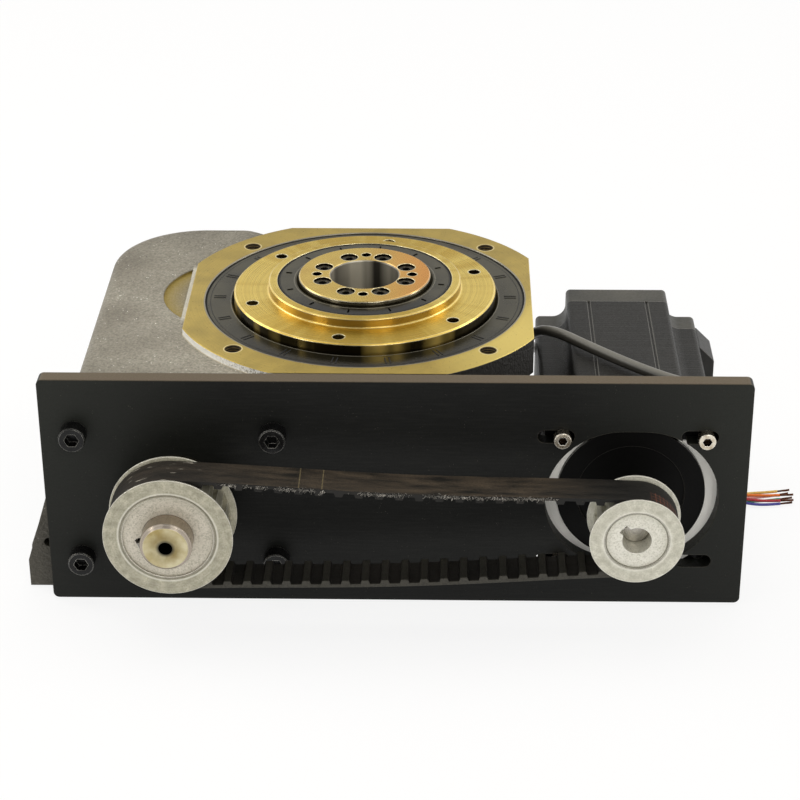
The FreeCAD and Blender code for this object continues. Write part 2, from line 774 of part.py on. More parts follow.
shaft_tip = pulley_front - input_end
journal_start = -(cam_bearing_start + cam_bearing_width)


def cam_shaft():
    """Cam shaft from the keyed input end to the rear bearing, with the body of the cam but not its rib."""
    input_r = input_dia / 2
    seat = bearing_seat_dia / 2
    shoulder = cam_shoulder_dia / 2
    rear_end = cam_bearing_start + cam_bearing_width + 1.0
    shaft = turned_y([
        (0, shaft_tip), (input_r - input_chamfer, shaft_tip), (input_r, shaft_tip + input_chamfer),
        (input_r, plate_front), (seal_journal_dia / 2, plate_front), (seal_journal_dia / 2, journal_start),
        (seat, journal_start), (seat, -cam_bearing_start), (shoulder, -cam_bearing_start),
        (shoulder, cam_bearing_start), (seat, cam_bearing_start), (seat, rear_end), (0, rear_end),
    ], cam_x)
    shaft = fused([shaft, cam_core()])
    centre = bar(input_centre_dia, shaft_tip - 1, shaft_tip + input_centre_depth, cam_x, shaft_height)
    cuts = [centre, shaft_keyway()]
    return drilled(shaft, cuts)


def key_slot(sink_r, top_r, width, shift, y0, y1, angle, x):
    """Block along a shaft for a key or a keyway, turned to its angle about the shaft axis at x."""
    middle = shaft_height + shift
    slot = block(x + sink_r, x + top_r, y0, y1, middle - width / 2, middle + width / 2)
    return around_y(slot, angle, x)


key_spare = (keyway_width - key_width) / 2
key_floor = input_dia / 2 - key_sink
key_top = key_floor + key_height
key_end = pulley_front + key_length


def shaft_keyway():
    return key_slot(key_floor - press_fit, input_dia, keyway_width, key_spare, shaft_tip + 6, key_end + 1,
                    key_angle, cam_x)


def hub_keyway():
    y0, y1 = pulley_front - 1, pulley_back + 1
    return key_slot(0, key_top + 0.3, keyway_width, -key_spare, y0, y1, key_angle, cam_x)


def input_key():
    return key_slot(key_floor, key_top, key_width, 0.0, pulley_front - 0.3, key_end, key_angle, cam_x)


def belt_frame(s):
    """Point, direction and outward normal of the belt's pitch line, s along it from the upper input tangent."""
    input_start = 2 * run_length + motor_wrap
    if s < run_length:
        return run_frame(cam_x, input_pitch_r, run_angle, s)
    if s < run_length + motor_wrap:
        return wrap_frame(motor_x, motor_pitch_r, run_angle - (s - run_length) / motor_pitch_r)
    if s < input_start:
        return run_frame(motor_x, motor_pitch_r, -run_angle, s - run_length - motor_wrap)
    return wrap_frame(cam_x, input_pitch_r, -run_angle - (s - input_start) / input_pitch_r)


def wrap_frame(x, radius, angle):
    normal = (math.cos(angle), math.sin(angle))
    point = (x + radius * normal[0], shaft_height + radius * normal[1])
    return point, (normal[1], -normal[0]), normal


def run_frame(x, radius, angle, travel):
    """Place on a run that hangs through and leaves both pulleys without a kink."""
    point, way, normal = wrap_frame(x, radius, angle)
    share = math.pi * travel / run_length
    drop = belt_sag * math.sin(share) ** 2
    fall = belt_sag * math.pi / run_length * math.sin(2 * share)
    point = (point[0] + way[0] * travel, point[1] + way[1] * travel - drop)
    length = math.hypot(way[0], way[1] - fall)
    way = (way[0] / length, (way[1] - fall) / length)
    return point, way, (-way[1], way[0])


run_steps = 12             # points that shape the back of each run


def belt_tooth_places():
    return [(k + 0.5) * belt_pitch for k in range(belt_teeth)]


def belt_outline(y):
    """Inner outline of the belt, round all its teeth."""
    land = belt_seat - belt_line
    tip = land - belt_tooth_height
    shape = [(-belt_tooth_root / 2, land), (-belt_tooth_tip / 2, tip), (belt_tooth_tip / 2, tip),
             (belt_tooth_root / 2, land)]
    points = []
    for s in belt_tooth_places():
        point, way, normal = belt_frame(s)
        for along, out in shape:
            points.append(Vec(point[0] + way[0] * along + normal[0] * out, y,
                              point[1] + way[1] * along + normal[1] * out))
    return Part.makePolygon(points + points[:1])


def belt_back_outline(y):
    """Smooth outline of the belt's back: two hanging runs and two arcs."""
    lift = belt_seat - belt_line + belt_back
    input_r = input_pitch_r + lift
    motor_r = motor_pitch_r + lift
    def rim(x, radius, angle):
        return Vec(x + radius * math.cos(angle), y, shaft_height + radius * math.sin(angle))
    def run(x, radius, angle):
        points = []
        for k in range(run_steps + 1):
            point, way, normal = run_frame(x, radius, angle, run_length * k / run_steps)
            points.append(Vec(point[0] + normal[0] * lift, y, point[1] + normal[1] * lift))
        way = wrap_frame(x, radius, angle)[1]
        curve = Part.BSplineCurve()
        curve.interpolate(points, InitialTangent=Vec(way[0], 0, way[1]), FinalTangent=Vec(way[0], 0, way[1]))
        return points[0], points[-1], curve.toShape()
    upper = run(cam_x, input_pitch_r, run_angle)
    lower = run(motor_x, motor_pitch_r, -run_angle)
    return Part.Wire([
        upper[2], Part.Arc(upper[1], rim(motor_x, motor_r, 0), lower[0]).toShape(),
        lower[2], Part.Arc(lower[1], rim(cam_x, input_r, math.pi), upper[0]).toShape(),
    ])


def timing_belt():
    y0 = pulley_mid - belt_width / 2
    face = Part.makeFace([belt_back_outline(y0), belt_outline(y0)], "Part::FaceMakerBullseye")
    return face.extrude(Vec(0, belt_width, 0))


def toothed_rim(teeth, x, phase):
    """Toothed pulley rim with straight-sided grooves, one of them at the angle phase."""
    tip = teeth * belt_pitch / (2 * math.pi) - belt_line
    half_bottom = groove_bottom / 2
    half_top = half_bottom + groove_depth * math.tan(math.radians(groove_angle))
    step = 2 * math.pi / teeth
    crest = math.sqrt(tip ** 2 - half_top ** 2)
    y0 = pulley_front + pulley_flange
    def at(angle, radial, across):
        return Vec(x + radial * math.cos(angle) - across * math.sin(angle), y0,
                   shaft_height + radial * math.sin(angle) + across * math.cos(angle))
    edges = []
    for k in range(teeth):
        angle = phase + k * step
        groove = [at(angle, crest, -half_top), at(angle, tip - groove_depth, -half_bottom),
                  at(angle, tip - groove_depth, half_bottom), at(angle, crest, half_top)]
        edges += [Part.makeLine(groove[i], groove[i + 1]) for i in range(3)]
        following = at(angle + step, crest, -half_top)
        edges.append(Part.Arc(groove[3], at(angle + step / 2, tip, 0), following).toShape())
    return Part.Face(Part.Wire(edges)).extrude(Vec(0, pulley_face, 0))


def pulley_body(teeth, x, phase, hub, bore, keyway):
    """Pulley: toothed rim, a hub end on each side for the flanges, bore and keyway."""
    ends = bar(hub - 2 * press_fit, pulley_front + 0.8, pulley_back, x, shaft_height)
    body = fused([toothed_rim(teeth, x, phase), ends])
    hole = bar(bore + 2 * press_fit, pulley_front - 1, pulley_back + 1, x, shaft_height)
    return drilled(body, [hole, keyway])


def pulley_flanges(dia, hub, x):
    """Two pressed rings with rims that bend away from the belt."""
    rim = dia / 2
    bend = rim - 3.0
    rings = []
    for face, out in ((pulley_front + pulley_flange, -1), (pulley_back - pulley_flange, 1)):
        thick = out * pulley_flange
        dish = out * flange_dish
        rings.append(turned_y([
            (hub / 2, face), (bend, face), (rim, face + dish), (rim, face + thick),
            (hub / 2, face + thick),
        ], x))
    return group(rings)


def input_phase():
    """Angle at which the first belt tooth on the input pulley sits."""
    start = 2 * run_length + motor_wrap
    first = [s for s in belt_tooth_places() if s > start][0]
    return -run_angle - (first - start) / input_pitch_r


def motor_phase():
    first = [s for s in belt_tooth_places() if s > run_length][0]
    return run_angle - (first - run_length) / motor_pitch_r


def input_pulley():
    return pulley_body(input_teeth, cam_x, input_phase(), input_hub_dia, input_dia, hub_keyway())


motor_key_floor = motor_shaft_dia / 2 - motor_key_sink
motor_key_top = motor_key_floor + motor_key_height
motor_face = plate_back                         # front face of the motor flange
motor_shaft_tip = motor_face - motor_shaft_length
motor_flange_back = motor_face + motor_flange_thickness
motor_end = motor_face + motor_length
motor_cover_front = motor_end - motor_cover_thickness


def motor_pulley():
    keyway = key_slot(0, motor_key_top + 0.3, motor_key_width, 0.0, pulley_front - 1, pulley_back + 1,
                      motor_key_angle, motor_x)
    return pulley_body(motor_teeth, motor_x, motor_phase(), motor_hub_dia, motor_shaft_dia, keyway)


def motor_key():
    return key_slot(motor_key_floor, motor_key_top, motor_key_width - 2 * press_fit, 0.0, motor_shaft_tip + 0.5,
                    motor_shaft_tip + 0.5 + motor_key_length, motor_key_angle, motor_x)


def race_radius(angle, y):
    """Radius of a race cone at y from the middle of the bearing, wide end towards the bearing's outer face."""
    return (race_apex + y) * math.tan(math.radians(angle))


def tapered_ring(wall, angle, play):
    """One ring of the rear cam bearing. The front bearing is its mirror image."""
    y0 = cam_bearing_start
    y1 = y0 + cam_bearing_width
    middle = (y0 + y1) / 2
    return turned_y([(wall, y0), (race_radius(angle, y0 - middle) + play, y0),
                     (race_radius(angle, y1 - middle) + play, y1), (wall, y1)], cam_x)


def both_ends(shape):
    """A piece of the rear cam bearing together with its mirror image at the front."""
    return group([shape, shape.mirror(Vec(0, 0, 0), Vec(0, 1, 0))])


def cam_bearing_rollers():
    lean = math.radians((race_inner_angle + race_outer_angle) / 2)
    spread = math.tan(math.radians((race_outer_angle - race_inner_angle) / 2))
    length = cam_bearing_width - 4.0
    middle = cam_bearing_start + cam_bearing_width / 2
    slant = race_apex / math.cos(lean)
    near = slant - length / 2
    far = slant + length / 2
    axis = Vec(math.sin(lean), math.cos(lean), 0)
    start = Vec(cam_x, middle - race_apex, shaft_height) + axis * near
    roller = Part.makeCone(near * spread - running_fit / 2, far * spread - running_fit / 2, length, start, axis)
    return both_ends(group([around_y(roller, 360.0 * k / cam_rollers, cam_x) for k in range(cam_rollers)]))


def front_bearing_cap():
    """Cap under the mounting plate that holds the front bearing and the shaft seal."""
    face = plate_back
    inner_end = journal_start
    return turned_y([
        (shaft_seal_dia / 2, face), (cap_dia / 2 - press_fit, face),
        (cap_dia / 2 - press_fit, face + cap_recess),
        (cam_bearing_dia / 2 - press_fit, face + cap_recess), (cam_bearing_dia / 2 - press_fit, inner_end),
        (cam_bearing_dia / 2 - 4, inner_end), (cam_bearing_dia / 2 - 4, inner_end - 3),
        (seal_journal_dia / 2 + 2, inner_end - 3), (seal_journal_dia / 2 + 2, face + shaft_seal_width + 1),
        (shaft_seal_dia / 2, face + shaft_seal_width + 1),
    ], cam_x)


def shaft_seal():
    y0 = plate_back + 1.0
    y1 = y0 + shaft_seal_width
    outer = shaft_seal_dia / 2 - press_fit
    lip = seal_journal_dia / 2 + running_fit
    return turned_y([
        (outer, y0), (outer, y1), (outer - 2, y1), (outer - 2, y0 + 3), (lip + 3, y0 + 3), (lip + 1.5, y1 - 1),
        (lip, y1 - 1.5), (lip, y0 + 1), (lip + 1, y0),
    ], cam_x)


def rear_bearing_cap():
    """Closed cap over the rear end of the cam shaft."""
    inner_end = cam_bearing_start + cam_bearing_width
    spigot = cam_bearing_dia / 2 - press_fit
    cap = turned_y([
        (0, box_back + cap_thickness), (cap_dia / 2 - 1.5, box_back + cap_thickness),
        (cap_dia / 2, box_back + cap_thickness - 1.5), (cap_dia / 2, box_back), (spigot, box_back),
        (spigot, inner_end), (spigot - 4, inner_end), (spigot - 4, box_back), (0, box_back),
    ], cam_x)
    holes = [bar(cap_screw + 2 * bolt_clearance, box_back - 1, box_back + cap_thickness + 1, x, z)
             for x, z in circle_y(cap_screw_pcd, cap_screws, cam_x, 30.0)]
    return drilled(cap, holes)


def cap_screw_set():
    screw = socket_screw(cap_screw, cap_screw_length + cap_thickness - 4.0)
    return group([placed(screw, (x, box_back + cap_thickness, z), (0, 1, 0))
                  for x, z in circle_y(cap_screw_pcd, cap_screws, cam_x, 30.0)])


def plate_bolt_places():
    return corners(plate_bolt_x, plate_bolt_z, cam_x, shaft_height)


def motor_bolt_places():
    return corners(motor_bolt_spacing, motor_bolt_spacing, motor_x, shaft_height)


def mounting_plate():
    """Black plate with the housing screws, the shaft hole, the motor window and its slots."""
    right, top = plate_left + plate_width, plate_foot + plate_height
    plate = block(plate_left, right, plate_front, plate_back, plate_foot, top)
    edges = [e for e in plate.Edges if e.BoundBox.YLength > plate_thickness - 0.1]
    plate = plate.makeFillet(plate_corner, edges)
    through = (plate_front - 1, plate_back + 1)
    holes = [bar(plate_bolt + 2 * bolt_clearance, *through, x, z) for x, z in plate_bolt_places()]
    holes.append(bar(plate_shaft_hole, *through, cam_x, shaft_height))
    holes.append(obround_y(window_width, window_height, *through, motor_x, shaft_height))
    for x, z in motor_bolt_places():
        holes.append(obround_y(slot_length, slot_width, *through, x + slot_shift, z))
    return drilled(plate, holes)


def plate_screws():
    screw = socket_screw(plate_bolt, plate_bolt_length)
    return group([placed(screw, (x, plate_front, z), (0, -1, 0)) for x, z in plate_bolt_places()])


def used_motor_bolts():
    """Three of the four motor holes carry a screw. The lower right slot is left open."""
    return [(x, z) for x, z in motor_bolt_places() if not (x > motor_x and z < shaft_height)]


def motor_mount_screws():
    screw = socket_screw(motor_bolt, motor_bolt_length)
    return group([placed(screw, (x, plate_front, z), (0, -1, 0)) for x, z in used_motor_bolts()])


def motor_mount_nuts():
    nut = hexagon(nut_width, nut_height).cut(Part.makeCylinder(motor_bolt / 2, nut_height + 1))
    return group([placed(nut, (x, motor_flange_back, z), (0, 1, 0)) for x, z in used_motor_bolts()])


def stack_outline(y0, y1):
    """Square motor section with notched corners, rounded inside and out."""
    half = motor_size / 2
    body = block(motor_x - half, motor_x + half, y0, y1, shaft_height - half, shaft_height + half)
    notch = motor_notch / 2
    cuts = [block(x - notch, x + notch, y0 - 1, y1 + 1, z - notch, z + notch)
            for x, z in corners(motor_size - motor_notch, motor_size - motor_notch, motor_x, shaft_height)]
    body = drilled(body, cuts)
    long_edges = [e for e in body.Edges if e.BoundBox.YLength > y1 - y0 - 0.1]
    inner = [e for e in long_edges if is_notch_root(e)]
    body = body.makeFillet(motor_notch_fillet, inner)
    outer = [e for e in body.Edges if e.BoundBox.YLength > y1 - y0 - 0.1 and is_outer_corner(e)]
    return body.makeFillet(motor_edge, outer)


def is_notch_root(edge):
    middle = edge.CenterOfMass
    reach = motor_size / 2 - motor_notch
    return abs(abs(middle.x - motor_x) - reach) < 0.1 and abs(abs(middle.z - shaft_height) - reach) < 0.1


def is_outer_corner(edge):
    middle = edge.CenterOfMass
    near = motor_size / 2 - motor_notch
    far = motor_size / 2
    sides = sorted([abs(middle.x - motor_x), abs(middle.z - shaft_height)])
    return abs(sides[0] - near) < 0.1 and abs(sides[1] - far) < 0.1


def motor_front_flange():
    half = motor_size / 2
    low, high = shaft_height - half, shaft_height + half
    flange = block(motor_x - half, motor_x + half, motor_face, motor_flange_back, low, high)
    edges = [e for e in flange.Edges if e.BoundBox.YLength > motor_flange_thickness - 0.1]
    flange = flange.makeFillet(4.0, edges)
    pilot_front = motor_face - motor_pilot_height
    flange = flange.fuse(bar(motor_pilot_dia, pilot_front, motor_face, motor_x, shaft_height))
    holes = [bar(motor_hole_dia, motor_face - 1, motor_flange_back + 1, x, z) for x, z in motor_bolt_places()]
    holes.append(bar(motor_recess_dia, pilot_front - 1, pilot_front + 1.5, motor_x, shaft_height))
    holes.append(bar(motor_journal_dia + 2, pilot_front - 1, motor_flange_back + 1, motor_x, shaft_height))
    holes.append(bar(motor_bearing_dia, motor_flange_back - motor_bearing_width + 3, motor_flange_back + 1, motor_x,
                     shaft_height))
    for x, z in tie_places():
        holes.append(bar(tie_screw, motor_flange_back - 7, motor_flange_back + 1, x, z))
    return drilled(flange, holes)


def tie_places():
    return corners(2 * tie_offset_x, 2 * tie_offset_z, motor_x, shaft_height)


def motor_stator():
    """Lamination stack with eight poles, winding slots and weld grooves along its sides."""
    stack = stack_outline(motor_flange_back, motor_cover_front)
    y0 = motor_flange_back - 1
    y1 = motor_cover_front + 1
    slots = bar(slot_circle, y0, y1, motor_x, shaft_height)
    bore = bar(stator_bore, y0, y1, motor_x, shaft_height)
    low, high = shaft_height - pole_width / 2, shaft_height + pole_width / 2
    pole = block(motor_x, motor_x + slot_circle / 2 + 1, y0, y1, low, high)
    poles = fused([around_y(pole, 360.0 * k / stator_poles, motor_x) for k in range(stator_poles)])
    cuts = [slots.cut(poles), bore]
    for x, z in tie_places():
        cuts.append(bar(tie_screw + 2 * bolt_clearance, y0, y1, x, z))
    half = motor_size / 2
    groove = block(motor_x + half - weld_groove_depth, motor_x + half + 1, y0, y1,
                   shaft_height - weld_groove_width / 2, shaft_height + weld_groove_width / 2)
    for side in (-1, 1):
        shifted = groove.translated(Vec(0, 0, side * weld_groove_offset))
        cuts += [around_y(shifted, 90.0 * k, motor_x) for k in range(4)]
    return drilled(stack, cuts)


def motor_coils():
    """Winding round each pole, reaching past both ends of the stack."""
    play = 0.3
    inner_r = stator_bore / 2 + 1.5
    outer_r = slot_circle / 2 - 1.5
    wide = pole_width / 2 + play
    y0 = motor_flange_back + 1.5
    y1 = motor_cover_front - 1.5
    coil = block(motor_x + inner_r, motor_x + outer_r, y0, y1, shaft_height - wide - coil_thickness,
                 shaft_height + wide + coil_thickness)
    low, high = shaft_height - wide, shaft_height + wide
    coil = coil.cut(block(motor_x, motor_x + outer_r + 1, y0 - 1, y1 + 1, low, high))
    coil = coil.common(bar(slot_circle - 1, y0, y1, motor_x, shaft_height))
    return group([around_y(coil, 360.0 * k / stator_poles, motor_x) for k in range(stator_poles)])


def motor_rear_cover():
    cover = stack_outline(motor_cover_front, motor_end)
    rim = [e for e in cover.Edges if e.BoundBox.YMin > motor_end - 0.01]
    cover = cover.makeFillet(1.0, rim)
    seat_end = motor_cover_front + motor_bearing_width
    holes = [bar(motor_bearing_dia, motor_cover_front - 1, seat_end, motor_x, shaft_height)]
    for x, z in tie_places():
        holes.append(bar(tie_screw + 2 * bolt_clearance, motor_cover_front - 1, motor_end + 1, x, z))
        holes.append(bar(head_dia(tie_screw) + 0.6, motor_end - tie_head_sink, motor_end + 1, x, z))
    return drilled(cover, holes)


def tie_screws():
    seat = motor_end - tie_head_sink
    screw = socket_screw(tie_screw, seat - motor_flange_back + 6.0)
    return group([placed(screw, (x, seat, z), (0, 1, 0)) for x, z in tie_places()])


def motor_bearing_places():
    """Start of the front and of the rear motor bearing along Y."""
    return [motor_flange_back - motor_bearing_width + 3, motor_cover_front]


def motor_bearing_rings(outer, inner):
    return group([bar(outer, y, y + motor_bearing_width, motor_x, shaft_height).cut(
        bar(inner, y - 1, y + motor_bearing_width + 1, motor_x, shaft_height)) for y in motor_bearing_places()])


def motor_shaft():
    front, rear = motor_bearing_places()
    journal = motor_journal_dia / 2
    shaft = turned_y([
        (0, motor_shaft_tip), (motor_shaft_dia / 2 - 0.8, motor_shaft_tip),
        (motor_shaft_dia / 2, motor_shaft_tip + 0.8),
        (motor_shaft_dia / 2, motor_face), (journal, motor_face), (journal, rear + motor_bearing_width),
        (0, rear + motor_bearing_width),
    ], motor_x)
    keyway = key_slot(motor_key_floor - press_fit, motor_shaft_dia, motor_key_width, 0.0, motor_shaft_tip - 1,
                      motor_shaft_tip + 1 + motor_key_length, motor_key_angle, motor_x)
    return shaft.cut(keyway)


def motor_rotor():
    """Two rotor halves with the magnet disc between them."""
    middle = (motor_flange_back + motor_cover_front) / 2
    bore = motor_journal_dia + 2 * press_fit
    halves = []
    for y0 in (middle - magnet_length / 2 - rotor_cup, middle + magnet_length / 2):
        halves.append(bar(rotor_dia, y0, y0 + rotor_cup, motor_x, shaft_height))
    magnet = bar(rotor_dia - 4, middle - magnet_length / 2, middle + magnet_length / 2, motor_x, shaft_height)
    return fused(halves + [magnet]).cut(bar(bore, motor_face, motor_end, motor_x, shaft_height))


def cable_outlet():
    """Moulded box on the side of the motor where the cable comes out at the bottom."""
    side = motor_x + motor_size / 2
    out = side + outlet_depth
    outline = [(side, outlet_bottom), (out, outlet_bottom), (out, outlet_top - outlet_chamfer),
               (out - outlet_chamfer, outlet_top), (side, outlet_top)]
    box = prism_y(outline, outlet_back - outlet_length, outlet_back)
    long_edges = [e for e in box.Edges if e.BoundBox.YLength > outlet_length - 0.1]
    rounded = [e for e in long_edges if e.CenterOfMass.x > side + 0.1]
    box = box.makeFillet(1.5, rounded)
    start = Vec(*cable_route[0])
    inward = (start - Vec(*cable_route[1])).normalize()
    return box.cut(Part.makeCylinder(cable_dia / 2 + press_fit, cable_entry + 2, start - inward, inward))


def cord(route, dia, lead_in=0.0):
    """Round cord along straight runs joined by tangent arcs."""
    points = [Vec(*p) for p in route]
    edges = []
    radii = []
    start = points[0] - (points[1] - points[0]).normalize() * lead_in
    for k in range(1, len(points) - 1):
        back = points[k - 1] - points[k]
        onward = points[k + 1] - points[k]
        turn = math.pi - back.getAngle(onward)
        reach = 0.45 * min(back.Length, onward.Length)
        radius = reach / math.tan(turn / 2)
        back.normalize()
        onward.normalize()
        entry = points[k] + back * reach
        leave = points[k] + onward * reach
        bisector = (back + onward).normalize()
        middle = points[k] + bisector * (radius / math.cos(turn / 2) - radius)
        edges.append(Part.makeLine(start, entry))
        edges.append(Part.Arc(entry, middle, leave).toShape())
        radii.append(round(radius, 1))
        start = leave
    edges.append(Part.makeLine(start, points[-1]))
    path = Part.Wire(edges)
    print("cord length", round(path.Length - lead_in, 1), "bend radii", radii)
    ring = Part.Wire(Part.makeCircle(dia / 2, edges[0].Vertexes[0].Point, points[1] - points[0]))
    return path.makePipeShell([ring], True, False)


def lead_wires():
    return group([cord(route, lead_dia) for route in lead_routes])


save("housing", housing())
save("oil_plugs", oil_plugs())
save("bottom_cover", bottom_cover())
save("bottom_cover_screws", screws_from_below(cover_screw, 13.0, circle_z(cover_screw_pcd, cover_screws, 22.5)))
save("column_screws", screws_from_below(column_screw, 11.0, circle_z(column_screw_pcd, column_screws)))
save("centre_column", centre_column())
save("hub_cap", hub_cap())
save("hub_screws", hub_screw_set())
save("outer_oil_seal", lip_seal(outer_seal_dia, flange_dia, seal_floor, platform_height - 0.6))
save("bearing_clamp_ring", bearing_clamp_ring())
save("output_bearing_outer_ring", output_bearing_ring(bearing_dia / 2 - press_fit, 1))
save("output_bearing_inner_ring", output_bearing_ring(spigot_dia / 2 + press_fit, -1))
save("output_bearing_rollers", output_bearing_rollers())
save("bearing_lock_nut", bearing_lock_nut())
save("output_flange", output_flange())
save("inner_oil_seal", lip_seal(inner_seal_dia, hub_dia, inner_seal_floor, ring_height - inner_seal_recess))
save("turret", turret())
save("turret_screws", turret_screw_set())
save("follower_studs", follower_studs())
for number, angle in enumerate(follower_angles, 1):
    save("follower_roller_%d" % number, follower_roller(angle))
save("cam_shaft", cam_shaft())
inner_ring = tapered_ring(bearing_seat_dia / 2 + press_fit, race_inner_angle, 0.0)
save("cam_bearing_inner_rings", both_ends(inner_ring))
save("cam_bearing_outer_rings", both_ends(tapered_ring(cam_bearing_dia / 2 - press_fit, race_outer_angle, 0.0)))
save("cam_bearing_rollers", cam_bearing_rollers())
save("front_bearing_cap", front_bearing_cap())
save("shaft_seal", shaft_seal())
save("rear_bearing_cap", rear_bearing_cap())
save("rear_cap_screws", cap_screw_set())
save("input_key", input_key())
save("input_pulley", input_pulley())
save("input_pulley_flanges", pulley_flanges(input_flange_dia, input_hub_dia, cam_x))
save("timing_belt", timing_belt())
save("mounting_plate", mounting_plate())
save("plate_screws", plate_screws())
save("motor_mount_screws", motor_mount_screws())
save("motor_mount_nuts", motor_mount_nuts())
save("motor_front_flange", motor_front_flange())
save("motor_stator", motor_stator())
save("motor_coils", motor_coils())
save("motor_rear_cover", motor_rear_cover())
save("motor_tie_screws", tie_screws())
outer_bore = motor_bearing_dia - 2 * motor_race
save("motor_bearing_outer_rings", motor_bearing_rings(motor_bearing_dia - 2 * press_fit, outer_bore))
inner_rim = motor_journal_dia + 2 * motor_race
save("motor_bearing_inner_rings", motor_bearing_rings(inner_rim, motor_journal_dia + 2 * press_fit))
save("motor_shaft", motor_shaft())
save("motor_rotor", motor_rotor())
save("motor_key", motor_key())
save("motor_pulley", motor_pulley())
save("motor_pulley_flanges", pulley_flanges(motor_flange_dia, motor_hub_dia, motor_x))
save("cable_outlet", cable_outlet())
save("motor_cable", cord(cable_route, cable_dia, cable_entry))
save("lead_wires", lead_wires())
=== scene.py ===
import math
import bmesh
import bpy
from mathutils import Matrix, Vector
from types import SimpleNamespace


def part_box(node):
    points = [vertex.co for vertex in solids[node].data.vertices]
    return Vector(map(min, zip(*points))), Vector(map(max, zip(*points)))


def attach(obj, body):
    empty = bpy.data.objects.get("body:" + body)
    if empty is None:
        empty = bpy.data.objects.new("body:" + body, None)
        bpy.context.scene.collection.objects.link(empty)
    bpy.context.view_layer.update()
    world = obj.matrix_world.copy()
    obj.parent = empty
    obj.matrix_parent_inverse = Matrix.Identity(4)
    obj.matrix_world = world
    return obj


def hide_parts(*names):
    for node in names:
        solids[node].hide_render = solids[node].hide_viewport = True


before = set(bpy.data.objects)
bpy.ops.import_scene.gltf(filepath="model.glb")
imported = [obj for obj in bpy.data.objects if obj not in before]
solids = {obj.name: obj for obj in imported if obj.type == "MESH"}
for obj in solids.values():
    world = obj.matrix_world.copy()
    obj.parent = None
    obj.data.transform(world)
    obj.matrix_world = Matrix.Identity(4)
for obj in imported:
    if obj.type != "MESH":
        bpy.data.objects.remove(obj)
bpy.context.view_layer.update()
mm = 0.001


# Studio. A pale floor runs out to a white background, with large soft lamps above and beside the unit.
# Grey cards that only reflections see shape the sheen of the turned faces.
eye = Vector((0.0437, -1.0772, 0.6205))
yaw, pitch, roll = -0.02394, 0.47784, -0.00446
focal_pixels, picture_pixels, sensor_width = 2291.78, 800, 36.0
lamp_tint = (1.0, 0.965, 0.9)
floor_reach, floor_drop = 4.0, -0.4 * mm
floor_white = 0.86
clear_reach = 3.0 * mm
noise_low, noise_high = 0.3, 0.7


def new_object(name, data):
    item = bpy.data.objects.new(name, data)
    bpy.context.collection.objects.link(item)
    return item


def aim_camera():
    ahead = Vector((math.sin(yaw) * math.cos(pitch), math.cos(yaw) * math.cos(pitch), -math.sin(pitch)))
    level = Vector((math.cos(yaw), -math.sin(yaw), 0))
    upright = level.cross(ahead)
    right = level * math.cos(roll) + upright * math.sin(roll)
    up = upright * math.cos(roll) - level * math.sin(roll)
    data = bpy.data.cameras.new("view")
    data.sensor_width = sensor_width
    data.lens = focal_pixels * sensor_width / picture_pixels
    data.clip_start, data.clip_end = 0.05, 50
    camera = new_object("view", data)
    turn = Matrix((right, up, -ahead)).transposed().to_4x4()
    camera.matrix_world = Matrix.Translation(eye) @ turn
    bpy.context.scene.camera = camera


class Signal:
    """Output of a node. Arithmetic on it adds the nodes that work it out."""

    def __init__(self, tree, socket):
        self.tree, self.socket = tree, socket

    def calc(self, operation, other=0.0):
        return result(self.tree, "ShaderNodeMath", {0: self, 1: other}, operation=operation)

    def __add__(self, other):
        return self.calc("ADD", other)

    def __sub__(self, other):
        return self.calc("SUBTRACT", other)

    def __rsub__(self, other):
        return result(self.tree, "ShaderNodeMath", {0: other, 1: self}, operation="SUBTRACT")

    def __mul__(self, other):
        return self.calc("MULTIPLY", other)

    def __truediv__(self, other):
        return self.calc("DIVIDE", other)

    def __abs__(self):
        return self.calc("ABSOLUTE")

    def __or__(self, other):
        """The larger of two masks."""
        return self.calc("MAXIMUM", other)

    def vector(self, operation, other=(0, 0, 0)):
        output = "Value" if operation in ("DOT_PRODUCT", "LENGTH") else "Vector"
        return result(self.tree, "ShaderNodeVectorMath", {0: self, 1: other}, output, operation=operation)

    def ramp(self, low, high, to_low=0.0, to_high=1.0):
        """Straight ramp between two limits, clamped."""
        sockets = {"Value": self, "From Min": low, "From Max": high, "To Min": to_low, "To Max": to_high}
        return result(self.tree, "ShaderNodeMapRange", sockets)

    def between(self, off, on):
        """Value that goes from one to the other with this mask."""
        return self.ramp(0, 1, off, on)

    def spread(self, low=0.0, high=1.0):
        """Noise stretched from its usual range to the given one."""
        return self.ramp(noise_low, noise_high, low, high)

    def mix(self, first, second):
        """Blend from the first colour to the second by this mask."""
        return result(self.tree, "ShaderNodeMix", {0: self, 6: first, 7: second}, 2, data_type="RGBA")


def add(tree, kind, inputs=None, **settings):
    """New shader or geometry node. An input is a value, or the signal or output that feeds it."""
    node = tree.nodes.new(kind)
    for name, value in settings.items():
        setattr(node, name, value)
    for name, value in (inputs or {}).items():
        source = value.socket if isinstance(value, Signal) else value
        if isinstance(source, bpy.types.NodeSocket):
            tree.links.new(source, node.inputs[name])
        else:
            node.inputs[name].default_value = source
    return node


def result(tree, kind, inputs=None, output=0, **settings):
    """Signal of a new node, from its first output unless another is named."""
    return Signal(tree, add(tree, kind, inputs, **settings).outputs[output])


def signals(tree, node):
    """Outputs of a node by their names in small letters."""
    return SimpleNamespace(**{s.name.lower().replace(" ", "_"): Signal(tree, s) for s in node.outputs})


def rgb(red, green, blue):
    """Colour from the 0 to 255 values that a screen shows."""
    def linear(value):
        share = value / 255
        return share / 12.92 if share <= 0.04045 else ((share + 0.055) / 1.055) ** 2.4
    return (linear(red), linear(green), linear(blue), 1.0)


